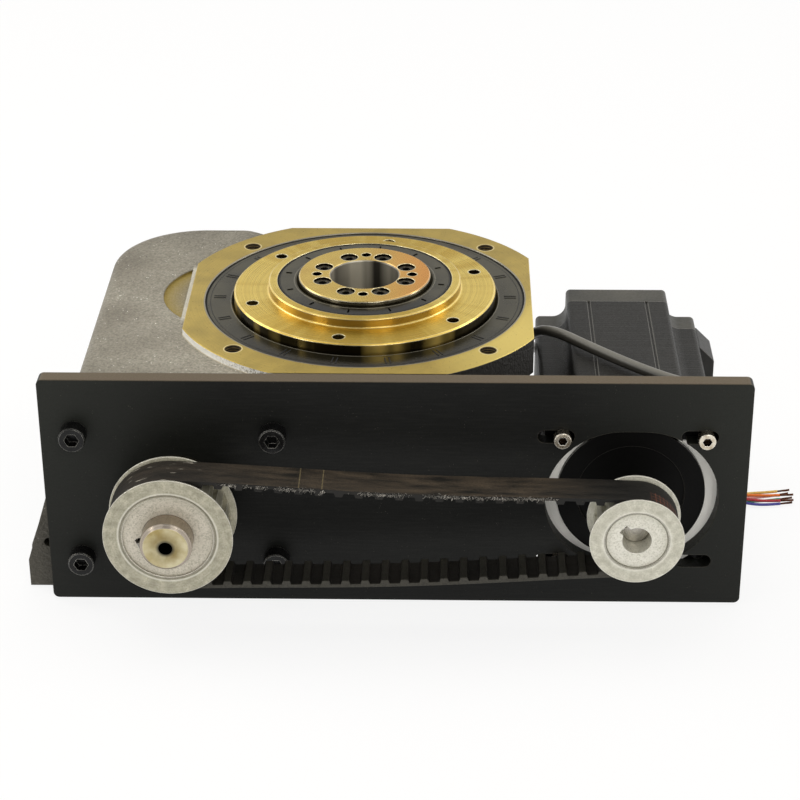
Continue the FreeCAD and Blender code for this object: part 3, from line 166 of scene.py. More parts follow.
def shown_directly(tree):
    """1 where the camera or a mirror sees the surface itself, 0 for the light that it throws back."""
    path = signals(tree, add(tree, "ShaderNodeLightPath"))
    return path.is_camera_ray | path.is_glossy_ray | path.is_transmission_ray


def bare_tree(owner):
    """Empty node tree of a new world or material."""
    owner.use_nodes = True
    owner.node_tree.nodes.clear()
    return owner.node_tree


def light_world():
    world = bpy.data.worlds.new("studio")
    bpy.context.scene.world = world
    tree = bare_tree(world)
    glow = result(tree, "ShaderNodeBackground", {"Color": (1.0, 0.98, 0.94, 1), "Strength": 0.5})
    white = result(tree, "ShaderNodeBackground", {"Color": (1, 1, 1, 1), "Strength": 1.0})
    mix = result(tree, "ShaderNodeMixShader", {0: shown_directly(tree), 1: glow, 2: white})
    add(tree, "ShaderNodeOutputWorld", {0: mix})


def add_lamp(name, place, target, size, power, mirrored=True):
    data = bpy.data.lights.new(name, "AREA")
    data.shape = "RECTANGLE"
    data.size, data.size_y = size
    data.energy = power
    data.color = lamp_tint
    lamp = new_object(name, data)
    lamp.location = place
    lamp.rotation_euler = (Vector(target) - Vector(place)).to_track_quat("-Z", "Y").to_euler()
    lamp.visible_glossy = mirrored


def flat_sheet(name, corners):
    """Flat stage piece. Returns it with the empty node tree of its own material."""
    mesh = bpy.data.meshes.new(name)
    mesh.from_pydata([Vector(c) for c in corners], [], [tuple(range(len(corners)))])
    sheet = new_object(name, mesh)
    material = bpy.data.materials.new(name)
    mesh.materials.append(material)
    return sheet, bare_tree(material)


def lay_floor():
    """White paper just under the unit. From below it is clear, so that the underside shows and gets light."""
    quarters = ((-1, -1), (1, -1), (1, 1), (-1, 1))
    corners = [(x * floor_reach, y * floor_reach, floor_drop) for x, y in quarters]
    tree = flat_sheet("floor", corners)[1]
    paper = result(tree, "ShaderNodeBsdfDiffuse", {"Color": (0.9, 0.9, 0.9, 1)})
    white = result(tree, "ShaderNodeEmission", {"Color": (1, 1, 1, 1), "Strength": 1.0})
    sheet = result(tree, "ShaderNodeMixShader", {0: shown_directly(tree) * floor_white, 1: paper, 2: white})
    beneath = result(tree, "ShaderNodeNewGeometry", output="Backfacing")
    ray_length = result(tree, "ShaderNodeLightPath", output="Ray Length")
    gone = beneath | ray_length.calc("LESS_THAN", clear_reach)
    clear = result(tree, "ShaderNodeBsdfTransparent")
    mix = result(tree, "ShaderNodeMixShader", {0: gone, 1: sheet, 2: clear})
    add(tree, "ShaderNodeOutputMaterial", {0: mix})


def hang_card(name, corners, grey):
    """Card that only shows in reflections."""
    card, tree = flat_sheet(name, corners)
    tone = result(tree, "ShaderNodeEmission", {"Color": (grey, grey, grey, 1), "Strength": 1.0})
    add(tree, "ShaderNodeOutputMaterial", {0: tone})
    card.visible_camera = card.visible_diffuse = card.visible_shadow = card.visible_transmission = False


aim_camera()
light_world()
lay_floor()
add_lamp("top_lamp", (-0.2, 0.3, 1.9), (0, 0, 0.1), (1.6, 1.2), 17, mirrored=False)
add_lamp("left_lamp", (-1.6, 0.5, 1.1), (-0.05, 0, 0.08), (0.9, 0.9), 8)
add_lamp("right_lamp", (1.7, 0.3, 1.0), (0.05, 0, 0.08), (0.7, 0.7), 6)
add_lamp("front_lamp", (0.7, -1.8, 1.3), (0.0, -0.1, 0.06), (1.0, 0.7), 9)
add_lamp("side_lamp", (-1.5, -1.2, 0.9), (-0.08, -0.05, 0.12), (0.5, 0.5), 4)
hang_card("rear_card", [(-0.62, 2.3, 0.25), (0.48, 2.3, 0.25), (0.48, 2.3, 2.3), (-0.62, 2.3, 2.3)], 0.6)
hang_card("top_card", [(-0.62, 2.3, 2.3), (0.48, 2.3, 2.3), (0.48, -1.6, 2.3), (-0.62, -1.6, 2.3)], 0.44)
hang_card("front_card", [(-2.5, -2.6, 0.0), (2.5, -2.6, 0.0), (2.5, -2.6, 1.5), (-2.5, -2.6, 1.5)], 0.05)
bpy.context.scene.view_settings.view_transform = "Standard"


# Housing casting. Grey sand-cast body whose platform is machined to a gold-toned satin face.
# A turned step runs round the platform, near-white on its left as a painted highlight; old oil lies in the
# shallow pocket beside it.
platform_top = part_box("housing")[1][2]
casting_top = platform_top - 3.5 * mm
platform_radius = 99.0 * mm
pocket_centre = Vector((-61.9 * mm, 10.0 * mm, 0))
pocket_radius = 43.6 * mm
platform_hole = 63.0 * mm
platform_tap, platform_thread = 4.2 * mm, 1.25 * mm
well_floor, well_radius = 113.5 * mm, 82.8 * mm


def new_group(name, kind="Shader", **inputs):
    """Empty node group with named inputs of the given kinds. Returns its tree and those inputs."""
    tree = bpy.data.node_groups.new(name, kind + "NodeTree")
    for label, socket in inputs.items():
        tree.interface.new_socket(label, in_out="INPUT", socket_type="NodeSocket" + socket)
    return tree, signals(tree, add(tree, "NodeGroupInput"))


def close_group(tree, **outputs):
    """Gives a node group its named outputs."""
    kinds = {"VECTOR": "Vector", "VALUE": "Float", "GEOMETRY": "Geometry"}
    for label, signal in outputs.items():
        socket = kinds[signal.socket.type]
        tree.interface.new_socket(label, in_out="OUTPUT", socket_type="NodeSocket" + socket)
    add(tree, "NodeGroupOutput", outputs)
    return tree


def make_speckle_group():
    """Uneven tone, fine grain and rare bright or dark specks of a rough surface."""
    tree, given = new_group("speckle", Vector="Vector", Grain="Float", Patch="Float", Specks="Float")
    place = given.vector
    patch = result(tree, "ShaderNodeTexNoise", {"Vector": place, "Scale": given.patch, "Detail": 4.0})
    grain = result(tree, "ShaderNodeTexNoise", {"Vector": place, "Scale": given.grain, "Detail": 3.0})
    cells = result(tree, "ShaderNodeTexVoronoi", {"Vector": place, "Scale": given.grain * 0.6}, "Distance")
    rare = result(tree, "ShaderNodeTexNoise", {"Vector": place, "Scale": 160.0, "Detail": 1.0})
    specks = cells.calc("LESS_THAN", given.specks) * rare.ramp(0.55, 0.68)
    return close_group(tree, Tone=patch, Grain=grain, Specks=specks)


def make_edge_group():
    """Mask of the outer edges of a solid, and normals that round them off."""
    tree, given = new_group("edges", Radius="Float")
    rounded = result(tree, "ShaderNodeBevel", {"Radius": given.radius}, samples=6)
    flat = result(tree, "ShaderNodeNewGeometry", output="Normal")
    return close_group(tree, Mask=rounded.vector("DOT_PRODUCT", flat).ramp(0.995, 0.9), Normal=rounded)


def make_turning_group():
    """Fine rings that a lathe leaves round an axis, with the direction along them."""
    tree, given = new_group("turning", Vector="Vector", Centre="Vector", Axis="Vector", Pitch="Float")
    around = given.axis.vector("CROSS_PRODUCT", given.vector.vector("SUBTRACT", given.centre))
    radius = around.vector("LENGTH")
    way = result(
        tree, "ShaderNodeVectorTransform", {0: around}, vector_type="VECTOR", convert_from="OBJECT",
        convert_to="WORLD")
    lines = {"W": radius / given.pitch, "Scale": 1.0, "Detail": 2.0}
    rings = result(tree, "ShaderNodeTexNoise", lines, noise_dimensions="1D")
    split = signals(tree, add(tree, "ShaderNodeSeparateXYZ", {0: around}))
    return close_group(
        tree, Rings=rings, Radius=radius, Tangent=way.vector("NORMALIZE"),
        Angle=split.y.calc("ARCTAN2", split.x))


speckle_group = make_speckle_group()
edge_group = make_edge_group()
turning_group = make_turning_group()


def socket_name(key):
    return key.replace("_", " ").title().replace("Ior", "IOR")


class Finish:
    """Material in the making: its node tree, its surface shader and the Object coordinates."""

    def __init__(self, name, **sockets):
        self.material = bpy.data.materials.new(name)
        self.material.use_nodes = True
        self.tree = self.material.node_tree
        self.surface = self.tree.nodes["Principled BSDF"]
        for key, value in sockets.items():
            self.surface.inputs[socket_name(key)].default_value = value
        self.place = result(self.tree, "ShaderNodeTexCoord", output="Object")
        self.normal = None

    def use(self, group, **sockets):
        return signals(self.tree, add(self.tree, "ShaderNodeGroup", sockets, node_tree=group))

    def speckle(self, grain, patch, specks):
        """Tone, Grain and Specks of a rough surface."""
        return self.use(speckle_group, Vector=self.place, Grain=grain, Patch=patch, Specks=specks)

    def turning(self, pitch, centre=(0, 0, 0), axis=(0, 0, 1)):
        """Rings, Radius, Tangent and Angle of a turned surface."""
        return self.use(turning_group, Vector=self.place, Centre=centre, Axis=axis, Pitch=pitch)

    def edges(self, radius):
        """Mask of the broken edges. It also rounds them off."""
        broken = self.use(edge_group, Radius=radius)
        self.normal = broken.normal
        return broken.mask

    def axes(self):
        """X, y and z of the Object coordinates."""
        split = signals(self.tree, add(self.tree, "ShaderNodeSeparateXYZ", {0: self.place}))
        return split.x, split.y, split.z

    def facing(self):
        """How far the surface faces up."""
        normal = result(self.tree, "ShaderNodeNewGeometry", output="Normal")
        return result(self.tree, "ShaderNodeSeparateXYZ", {0: normal}, "Z")

    def noise(self, scale, detail, turn=0.0):
        """Noise over the Object coordinates, scaled along each axis and turned about Z."""
        sockets = {"Vector": self.place, "Scale": scale, "Rotation": (0, 0, turn)}
        stretched = result(self.tree, "ShaderNodeMapping", sockets)
        return result(self.tree, "ShaderNodeTexNoise", {"Vector": stretched, "Scale": 1.0, "Detail": detail})

    def streaks(self, way, detail):
        """Noise along one signal."""
        sockets = {"W": way, "Scale": 1.0, "Detail": detail}
        return result(self.tree, "ShaderNodeTexNoise", sockets, noise_dimensions="1D")

    def done(self, colour, gloss, height=None, depth=0.0, **others):
        """Feeds the surface shader, with bumps of the given height, and returns the material."""
        fed = {"base_color": colour, "roughness": gloss, **others}
        if height is not None:
            sockets = {"Height": height, "Distance": depth}
            if self.normal is not None:
                sockets["Normal"] = self.normal
            fed["normal"] = result(self.tree, "ShaderNodeBump", sockets)
        for key, signal in fed.items():
            self.tree.links.new(signal.socket, self.surface.inputs[socket_name(key)])
        return self.material


def coats(tone, *layers):
    """Colour under a row of coats, each a mask and the colour that it lays on."""
    for mask, colour in layers:
        tone = mask.mix(tone, colour)
    return tone


def paint(material, *nodes):
    """Gives solids their finish."""
    for node in nodes:
        slots = solids[node].data.materials
        slots.clear()
        slots.append(material)


def length(first, second):
    return (first * first + second * second).calc("SQRT")


def thread_lines(height, thread, dark, light):
    """Colour of a tapped hole with the given thread pitch: bands of painted shade and light along the thread.
    """
    groove = (height * (2 * math.pi / thread)).calc("SINE")
    return groove.ramp(-0.2, 0.9).mix(dark, light)


def oil_stain(x, y, z):
    """Old oil on the floor of the pocket, thickest along its curved side."""
    reach = length(x - pocket_centre.x, y - pocket_centre.y)
    under = z - casting_top
    sunk = under.ramp(-0.0002, -0.0008) * under.ramp(-0.004, -0.003)
    share = reach / pocket_radius
    return share.ramp(0.66, 0.97) * sunk * share.ramp(1.02, 1.01) * x.ramp(-0.0925, -0.094)


def casting_finish():
    finish = Finish("casting", anisotropic=0.5, anisotropic_rotation=0.25)
    x, y, z = finish.axes()
    rough = finish.speckle(900, 20, 0.16)
    pits = finish.speckle(420, 70, 0.14)
    finish.edges(0.0008)
    turned = finish.turning(0.0005)
    radius = turned.radius
    cloud = finish.noise((16, 16, 16), 2)
    top = z.ramp(platform_top - 0.0003, platform_top - 0.0001)
    side = 1 - top
    ridge = (x.ramp(-0.0936, -0.093) * x.ramp(-0.09, -0.0906) * abs(y - pocket_centre.y).ramp(0.036, 0.03)
             * z.ramp(0.1, 0.105))
    # Painted shade: right of the middle and above 100 mm, the casting's sides are painted nearly black.
    shade = x.ramp(0, 0.03) * side * z.ramp(0.08, 0.1)
    sand = coats(
        rough.tone.ramp(0.35, 0.65).mix(rgb(132, 127, 114), rgb(160, 155, 141)),
        (cloud.ramp(0.48, 0.66, 0, 0.6), rgb(104, 97, 85)),
        (rough.grain.ramp(0.38, 0.66, 0, 0.6), rgb(94, 90, 80)),
        (pits.specks * 0.7, rgb(60, 57, 50)),
        # Painted glints: rare near-white specks on the sand-cast skin.
        (rough.specks, rgb(246, 244, 236)),
        # Painted shade: the casting is painted darker towards its rear and towards its bottom.
        (y.ramp(0.045, 0.095, 0, 0.45), rgb(80, 77, 69)),
        (z.ramp(0.08, 0.035, 0, 0.8), rgb(52, 50, 44)),
        (ridge * 0.7, rgb(214, 210, 196)),
        (oil_stain(x, y, z) * 0.9, rgb(146, 126, 52)),
        (shade, rgb(30, 28, 24)))
    # Turned step round the platform. Its near-white colour, shown only on the left side, is a painted
    # highlight.
    step = (radius.ramp(platform_radius - 0.0012, platform_radius - 0.0004)
            * radius.ramp(platform_radius + 0.0006, platform_radius + 0.0002)
            * z.ramp(casting_top - 0.0005, casting_top + 0.0003) * side * x.ramp(-0.0912, -0.0906))
    well = z.ramp(well_floor, well_floor + 0.0002) * radius.ramp(well_radius + 0.0007, well_radius)
    # Painted highlight: a brighter gold sector on the outer part of the machined top.
    sector = turned.tangent.vector("DOT_PRODUCT", (0.5, 0.866, 0))
    lit = sector.ramp(0.8, 1) * radius.ramp(0.078, 0.086)
    chips = step * rough.grain.ramp(0.5, 0.6) * x.ramp(-0.075, -0.045)
    satin = coats(
        turned.rings.mix(rgb(226, 198, 108), rgb(200, 172, 86)),
        (pits.tone.ramp(0.4, 0.7, 0, 0.5), rgb(170, 148, 80)),
        (lit, rgb(255, 228, 128)),
        (well, rgb(170, 164, 148)),
        (step, rgb(255, 254, 250)),
        (chips, rgb(150, 144, 128)))
    machined = top | well
    # The step takes the satin colour, near-white, only on its left: a painted highlight.
    bright = machined | step * x.ramp(0.03, 0)
    past_tap = length(abs(x) - platform_hole, abs(y) - platform_hole) - platform_tap
    hole = past_tap.ramp(0.0001, -0.0001) * z.ramp(0.1, 0.102)
    # Painted shade and light along the thread inside the holes, and a painted highlight round their rims.
    thread = thread_lines(z, platform_thread, rgb(22, 19, 13), rgb(120, 100, 58))
    rim = past_tap.ramp(0.0008, 0.0006) * past_tap.ramp(0, 0.0002) * top
    colour = coats(bright.mix(sand, satin), (hole, thread), (rim, rgb(252, 232, 168)))
    flat = machined - hole
    gloss = flat.between(0.6, 0.33) + rough.grain.spread(-0.06, 0.06)
    uneven = (rough.grain + pits.grain * 1.5) * machined.between(1, 0.03)
    return finish.done(colour, gloss, uneven, 0.0005, metallic=flat.between(0.1, 1), tangent=turned.tangent)


paint(casting_finish(), "housing")


# Covers and plugs. Turned steel discs close the bottom and the rear cam bearing, a ring the front one.
# Blackened socket screws hold them, and two hex plugs close the oil holes in the back.
centre_axis = (0.0, 0.0, 0.0)
cam_axis = (-0.09, 0.0, 0.0595)
motor_axis = (0.1336525, 0.0, 0.0595)
upward = (0.0, 0.0, 1.0)
forward = (0.0, 1.0, 0.0)


def turned_finish(name, light, dark, centre, axis, roughness):
    """Bare metal off the lathe: fine rings, faint smears and a painted highlight on the broken edges."""
    finish = Finish(name, metallic=1.0, anisotropic=0.6, anisotropic_rotation=0.25)
    turned = finish.turning(0.0006, centre, axis)
    smear = finish.speckle(700, 45, 0.06)
    edges = finish.edges(0.0005)
    colour = coats(
        turned.rings.mix(dark, light),
        (smear.tone.ramp(0.45, 0.75, 0, 0.35), dark),
        # Painted highlight on the broken edges.
        (edges * 0.6, (0.9, 0.88, 0.82, 1)))
    gloss = smear.tone.spread(roughness - 0.04, roughness + 0.08) + turned.rings.spread(-0.03, 0.03)
    return finish.done(colour, gloss, turned.rings, 0.00002, tangent=turned.tangent)


def blackened_finish(name, colour, worn, roughness):
    """Black oxide on steel, with a patchy painted highlight along the edges."""
    finish = Finish(name, metallic=0.55)
    film = finish.speckle(1500, 160, 0.08)
    edges = finish.edges(0.0004)
    paler = [c * 1.9 for c in colour[:3]] + [1]
    # Painted highlight: patches of the edges take the paler colour.
    edge_highlight_mask = edges * film.tone.ramp(0.35, 0.6, 0.2, 0.9)
    tone = coats(film.tone.ramp(0.35, 0.7).mix(colour, paler), (edge_highlight_mask, worn))
    return finish.done(tone, film.grain.spread(roughness - 0.08, roughness + 0.1), film.grain, 0.00006)


bright_steel = turned_finish(
    "bright_steel", rgb(205, 203, 198), rgb(150, 148, 143), centre_axis, upward, 0.26)
cam_line_steel = turned_finish(
    "cam_line_steel", rgb(196, 190, 182), rgb(140, 134, 126), cam_axis, forward, 0.24)
black_oxide = blackened_finish("black_oxide", (0.006, 0.006, 0.006, 1), rgb(204, 202, 194), 0.3)
paint(bright_steel, "bottom_cover", "bearing_clamp_ring")
paint(cam_line_steel, "rear_bearing_cap", "front_bearing_cap")
paint(black_oxide, "bottom_cover_screws", "column_screws", "rear_cap_screws", "oil_plugs")


# Fixed hub. The hollow steel column stands still in the middle, under a hub ring with counterbored screws.
# The hub's top has the same gold tone as the output with a warm painted highlight towards one side, and its
# walls are polished.
hub_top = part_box("hub_cap")[1][2]
bore_edge, pocket_edge = 18.6 * mm, 33.4 * mm
hub_screw_circle, hub_sink_radius = 23.0 * mm, 4.55 * mm
hub_tap_circle, hub_tap_radius = 24.5 * mm, 2.5 * mm


def hole_reach(turned, circle, count, start):
    """Reach from the nearest hole of a bolt circle, given its radius, number of holes and first angle."""
    step = 2 * math.pi / count
    past = turned.angle - (math.radians(start) + math.pi / 2 - step / 2)
    off = past.calc("FLOORED_MODULO", step) - step / 2
    along = off.calc("COSINE") * turned.radius - circle
    return length(along, off.calc("SINE") * turned.radius)


def hole_rim(reach, radius, width=0.6 * mm):
    """Mask of the broken edge round a hole."""
    return reach.ramp(radius + width, radius + 0.6 * width) * reach.ramp(radius - 0.0001, radius)


def hub_finish():
    finish = Finish("hub_steel", anisotropic=0.55, anisotropic_rotation=0.25)
    turned = finish.turning(0.0005)
    radius = turned.radius
    smear = finish.speckle(900, 70, 0.05)
    edges = finish.edges(0.0005)
    x, _, z = finish.axes()
    on_top = z.ramp(hub_top - 0.0004, hub_top - 0.0001)
    below = 1 - on_top
    in_bore = radius.ramp(bore_edge, bore_edge - 0.0004) * below
    in_pocket = (radius.ramp(bore_edge, bore_edge + 0.0004) * radius.ramp(pocket_edge, pocket_edge - 0.0004)
                 * below)
    # Painted highlight: the top turns warmer and pinker towards +x.
    top_with_highlight = coats(
        x.ramp(-0.002, 0.03).mix(rgb(240, 206, 108), rgb(244, 172, 84)),
        (smear.tone.ramp(0.45, 0.75, 0, 0.3), rgb(206, 164, 84)))
    plain = turned.rings.mix(rgb(136, 128, 106), rgb(172, 163, 138))
    # Painted reflections: dark and light streaks round the polished bore.
    reflection_streak = finish.streaks(turned.angle * 1.25, 1.5)
    bore_reflections = reflection_streak.ramp(0.36, 0.64).mix(rgb(44, 41, 34), rgb(196, 190, 174))
    sinks = hole_rim(hole_reach(turned, hub_screw_circle, 8, 22.5), hub_sink_radius)
    taps = hole_rim(hole_reach(turned, hub_tap_circle, 4, 0.0), hub_tap_radius)
    colour = coats(
        on_top.mix(in_bore.mix(plain, bore_reflections), top_with_highlight),
        # Painted shade down in the recess between the bore and the hub's wall.
        (in_pocket, rgb(44, 38, 26)),
        # Painted highlights on the broken edges and round the screw and tapped holes.
        (edges * 0.7 * (1 - in_bore), rgb(250, 240, 208)),
        ((sinks | taps) * on_top * 0.75, rgb(255, 240, 190)))
    gloss = on_top.between(0.16, 0.27) + smear.grain.spread(-0.03, 0.04) + in_bore * 0.26
    return finish.done(
        colour, gloss, turned.rings, 0.00002, metallic=1 - in_bore * 0.6, tangent=turned.tangent)


paint(hub_finish(), "hub_cap", "centre_column")
paint(blackened_finish("hub_screw_steel", (0.012, 0.011, 0.01, 1), rgb(120, 112, 92), 0.3), "hub_screws")


# Oil seals. Two dark rubber rings keep the oil in, the outer one in the housing, the inner one in the output.
# Short moulded notches stand round their faces, in pairs on the outer ring and single on the inner one.
notch_sink = 0.1 * mm
no_ring = 0.5


def rubber_finish(name, rim_radius, groove_radius, lip_radius):
    """Glossy dark rubber: a moulded ring line, painted shade at its rim gap and front, a painted highlight on
    its lip.
    """
    finish = Finish(name, specular_ior_level=0.32)
    skin = finish.speckle(1300, 60, 0.09)
    turned = finish.turning(0.0011)
    radius = turned.radius
    finish.edges(0.0004)
    groove = abs(radius - groove_radius).ramp(0.0003, 0.00012)
    lip = abs(radius - lip_radius).ramp(0.0004, 0.0002)
    # Painted shade: the outermost rim is painted near-black for the gap beside it.
    gap = radius.ramp(rim_radius - 0.0012, rim_radius - 0.0009)
    # Painted shade: the front of the ring, towards -y, is painted darker; it is also glossier there.
    darker_front = (finish.axes()[1] / radius).ramp(-0.4, -0.85)
    tone = coats(
        skin.tone.spread().mix(rgb(54, 52, 41), rgb(72, 69, 56)),
        (darker_front * 0.9, rgb(16, 14, 8)),
        (groove * 0.8, rgb(14, 14, 13)),
        # Painted highlight on the lip.
        (lip * 0.55, rgb(130, 126, 112)),
        (skin.specks * 0.6, rgb(150, 146, 130)),
        (gap, rgb(6, 6, 6)))
    height = skin.grain - (groove - lip) * 4.0
    gloss = (skin.tone.spread(0.24, 0.36) + gap * 0.4) * darker_front.between(1, 0.45)
    return finish.done(tone, gloss, height, 0.00007)


def speckled_finish(name, dark, light, grains, tones, gloss, **sockets):
    """Plain finish of two tones in patches, with an uneven gloss."""
    finish = Finish(name, **sockets)
    skin = finish.speckle(*grains)
    return finish.done(skin.tone.ramp(*tones).mix(dark, light), skin.grain.spread(*gloss))


def close_growth(tree, given, instances):
    """Ends a geometry tree with plain meshes in the given finish."""
    solid = result(tree, "GeometryNodeRealizeInstances", {"Geometry": instances})
    painted = result(tree, "GeometryNodeSetMaterial", {"Geometry": solid, "Material": given.finish})
    return close_group(tree, Geometry=painted)


def combine(tree, **axes):
    return result(tree, "ShaderNodeCombineXYZ", axes)


def make_notch_tree():
    """Ring of short radial bars, each made of two side by side when the gap isn't zero."""
    tree, given = new_group(
        "seal_notches", "Geometry", Count="Int", Radius="Float", Height="Float", Start="Float",
        Length="Float", Width="Float", Gap="Float", Finish="Material")
    ring = result(tree, "GeometryNodeMeshCircle", {"Vertices": given.count, "Radius": given.radius})
    lift, turn = combine(tree, Z=given.height), combine(tree, Z=given.start)
    ring = result(tree, "GeometryNodeTransform", {"Geometry": ring, "Translation": lift, "Rotation": turn})
    size = combine(tree, X=given.length, Y=given.width, Z=given.width)
    bar = result(tree, "GeometryNodeMeshCube", {"Size": size})
    pair = add(tree, "GeometryNodeJoinGeometry")
    for side in (-0.5, 0.5):
        shift = combine(tree, Y=given.gap * side)
        half = result(tree, "GeometryNodeTransform", {"Geometry": bar, "Translation": shift})
        tree.links.new(half.socket, pair.inputs[0])
    place = result(tree, "GeometryNodeInputPosition")
    face = result(
        tree, "FunctionNodeAlignRotationToVector", {"Vector": place.vector("MULTIPLY", (1, 1, 0))}, axis="X")
    set_out = result(
        tree, "GeometryNodeInstanceOnPoints", {"Points": ring, "Instance": pair.outputs[0], "Rotation": face})
    return close_growth(tree, given, set_out)


def grow(name, tree, body, slot, **sizes):
    """Plain mesh piece from a geometry tree and its sizes."""
    piece = new_object(name, bpy.data.meshes.new(name))
    growth = piece.modifiers.new("growth", "NODES")
    growth.node_group = tree
    for item in tree.interface.items_tree:
        if item.in_out == "INPUT" and item.name.lower() in sizes:
            growth[item.identifier] = sizes[item.name.lower()]
    view = bpy.context.evaluated_depsgraph_get()
    mesh = bpy.data.meshes.new_from_object(piece.evaluated_get(view))
    piece.modifiers.clear()
    piece.data = mesh
    mesh.name = name
    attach(piece, body)


outer_rubber = rubber_finish("outer_seal_rubber", rim_radius=0.0825, groove_radius=0.0797, lip_radius=0.0692)
inner_rubber = rubber_finish("inner_seal_rubber", rim_radius=0.045, groove_radius=0.0436, lip_radius=0.0362)
paint(outer_rubber, "outer_oil_seal")
paint(inner_rubber, "inner_oil_seal")
paint(rubber_finish("shaft_seal_rubber", no_ring, no_ring, no_ring), "shaft_seal")
notch_tree = make_notch_tree()
notch_shadow = speckled_finish(
    "notch_shadow", rgb(8, 8, 7), rgb(18, 17, 16), (1800.0, 200.0, 0.05), (0.0, 1.0), (0.5, 0.7))
outer_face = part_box("outer_oil_seal")[1][2]
inner_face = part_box("inner_oil_seal")[1][2]
grow(
    "outer_seal_notches", notch_tree, "frame", "seal_rubber", count=18, radius=0.075,
    height=outer_face - notch_sink, start=math.radians(0.5), length=0.0062, width=0.0006, gap=0.0022,
    finish=notch_shadow)
grow(
    "inner_seal_notches", notch_tree, "output", "seal_rubber", count=12, radius=0.04,
    height=inner_face - notch_sink, start=math.radians(20.2), length=0.003, width=0.0007, gap=0.0,
    finish=notch_shadow)


# Output flange. The unit's turning table, of gold-toned steel, turned on its faces and tapped for fixtures.
# A painted sheen brightens its turned rings in two sectors, left and right, and its walls carry painted
# reflections.
flange_hole_circle, flange_hole_radius = 60.0 * mm, 3.0 * mm
flange_thread = 1.0 * mm


def gold_finish():
    finish = Finish("turned_gold", metallic=1.0, anisotropic=0.75, anisotropic_rotation=0.25)
    turned = finish.turning(0.00035)
    coarse = finish.turning(0.0016)
    smear = finish.speckle(900, 55, 0.05)
    edges = finish.edges(0.0008)
    # Painted sheen: brighter gold in the left and right sectors, where the rings run front to back, broken by
    # rays.
    across = turned.tangent.vector("DOT_PRODUCT", (0.1, 0.995, 0))
    rays = finish.streaks(turned.angle * 7, 6)
    sheen = (across * across).ramp(0.2, 0.95) + rays.spread(-0.5, 0.5)
    # Painted reflections: the walls are painted darker gold, the outer walls in dark and bright streaks.
    wall = finish.facing().ramp(0.45, 0.25)
    reflection_streak = finish.streaks(turned.angle * 2.6, 2)
    outer_wall_reflections = reflection_streak.ramp(0.5, 0.68).mix(rgb(52, 45, 26), rgb(236, 204, 112))
    wall_reflections = turned.radius.ramp(0.055, 0.06).mix(rgb(150, 128, 70), outer_wall_reflections)
    reach = hole_reach(turned, flange_hole_circle, 6, 19.5)
    in_hole = reach.ramp(flange_hole_radius + 0.0001, flange_hole_radius - 0.0001) * wall
    thread = thread_lines(finish.axes()[2], flange_thread, rgb(26, 21, 11), rgb(150, 122, 58))
    colour = coats(
        turned.rings.mix(rgb(206, 168, 62), rgb(240, 203, 90)),
        (sheen.ramp(0, 1), rgb(255, 224, 118)),
        (coarse.rings.ramp(0.35, 0.7, 0, 0.35), rgb(208, 178, 88)),
        (wall, wall_reflections),
        # Painted highlights on the broken edges and round the tapped holes; the holes' threads are painted
        # shade and light.
        (edges * 0.75, rgb(255, 246, 206)),
        (hole_rim(reach, flange_hole_radius) * (1 - wall) * 0.85, rgb(255, 244, 196)),
        (in_hole, thread))
    gloss = smear.tone.spread(0.24, 0.32) + turned.rings.spread(-0.03, 0.04)
    return finish.done(colour, gloss, turned.rings, 0.00003, tangent=turned.tangent)


paint(gold_finish(), "output_flange")


# Bearings, turret and followers. Hardened steel in the oil bath. A crossed-roller bearing holds the output.
# Eight rollers on studs in the turret follow the rib of the cam.
paint(
    bright_steel, "output_bearing_outer_ring", "output_bearing_inner_ring", "output_bearing_rollers",
    "bearing_lock_nut", "turret", "follower_studs", *[f"follower_roller_{k}" for k in range(1, 9)])
paint(black_oxide, "turret_screws")


# Cam line. One shaft carries the globoid cam between taper bearings and comes out in front for the pulley.
# The shaft's end is bright, with a dull yellow film of grease on its face round a centre hole painted black
# as shade.
# The spiral rib that the followers straddle is a mesh of its own, set on the waisted body of the cam.
shaft_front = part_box("cam_shaft")[0][1]
cam_distance = -cam_axis[0]
cam_half = 33.0 * mm
rib_radius = 42.0 * mm
rib_foot = 63.4 * mm
rib_turns = 1.05
steps_per_turn = 96
follower_pitch = math.radians(45.0)
flank_offset = 11.5 * mm


def input_shaft_finish():
    finish = Finish("input_shaft_steel", anisotropic=0.5, anisotropic_rotation=0.25)
    turned = finish.turning(0.0007, cam_axis, forward)
    smear = finish.speckle(1100, 90, 0.06)
    finish.edges(0.0004)
    y = finish.axes()[1]
    on_face = y.ramp(shaft_front + 0.0005, shaft_front + 0.0002)
    # Painted shade: the centre hole is painted near-black.
    in_hole = turned.radius.ramp(0.005, 0.0031) * y.ramp(shaft_front + 0.03, shaft_front + 0.02)
    bare = turned.rings.mix(rgb(146, 134, 120), rgb(190, 180, 166))
    stain = turned.radius.ramp(0.0095, 0.0055) * smear.tone.ramp(0.35, 0.6, 1, 0.4)
    grease = coats(
        smear.tone.ramp(0.35, 0.65).mix(rgb(168, 150, 96), rgb(212, 204, 170)),
        (stain * 0.7, rgb(120, 102, 54)))
    colour = coats(on_face.mix(bare, grease), (in_hole, rgb(14, 13, 12)))
    gloss = on_face.between(0.2, 0.5) + smear.grain.spread(-0.04, 0.05)
    return finish.done(
        colour, gloss, turned.rings, 0.00003, metallic=1 - on_face * 0.7, tangent=turned.tangent)


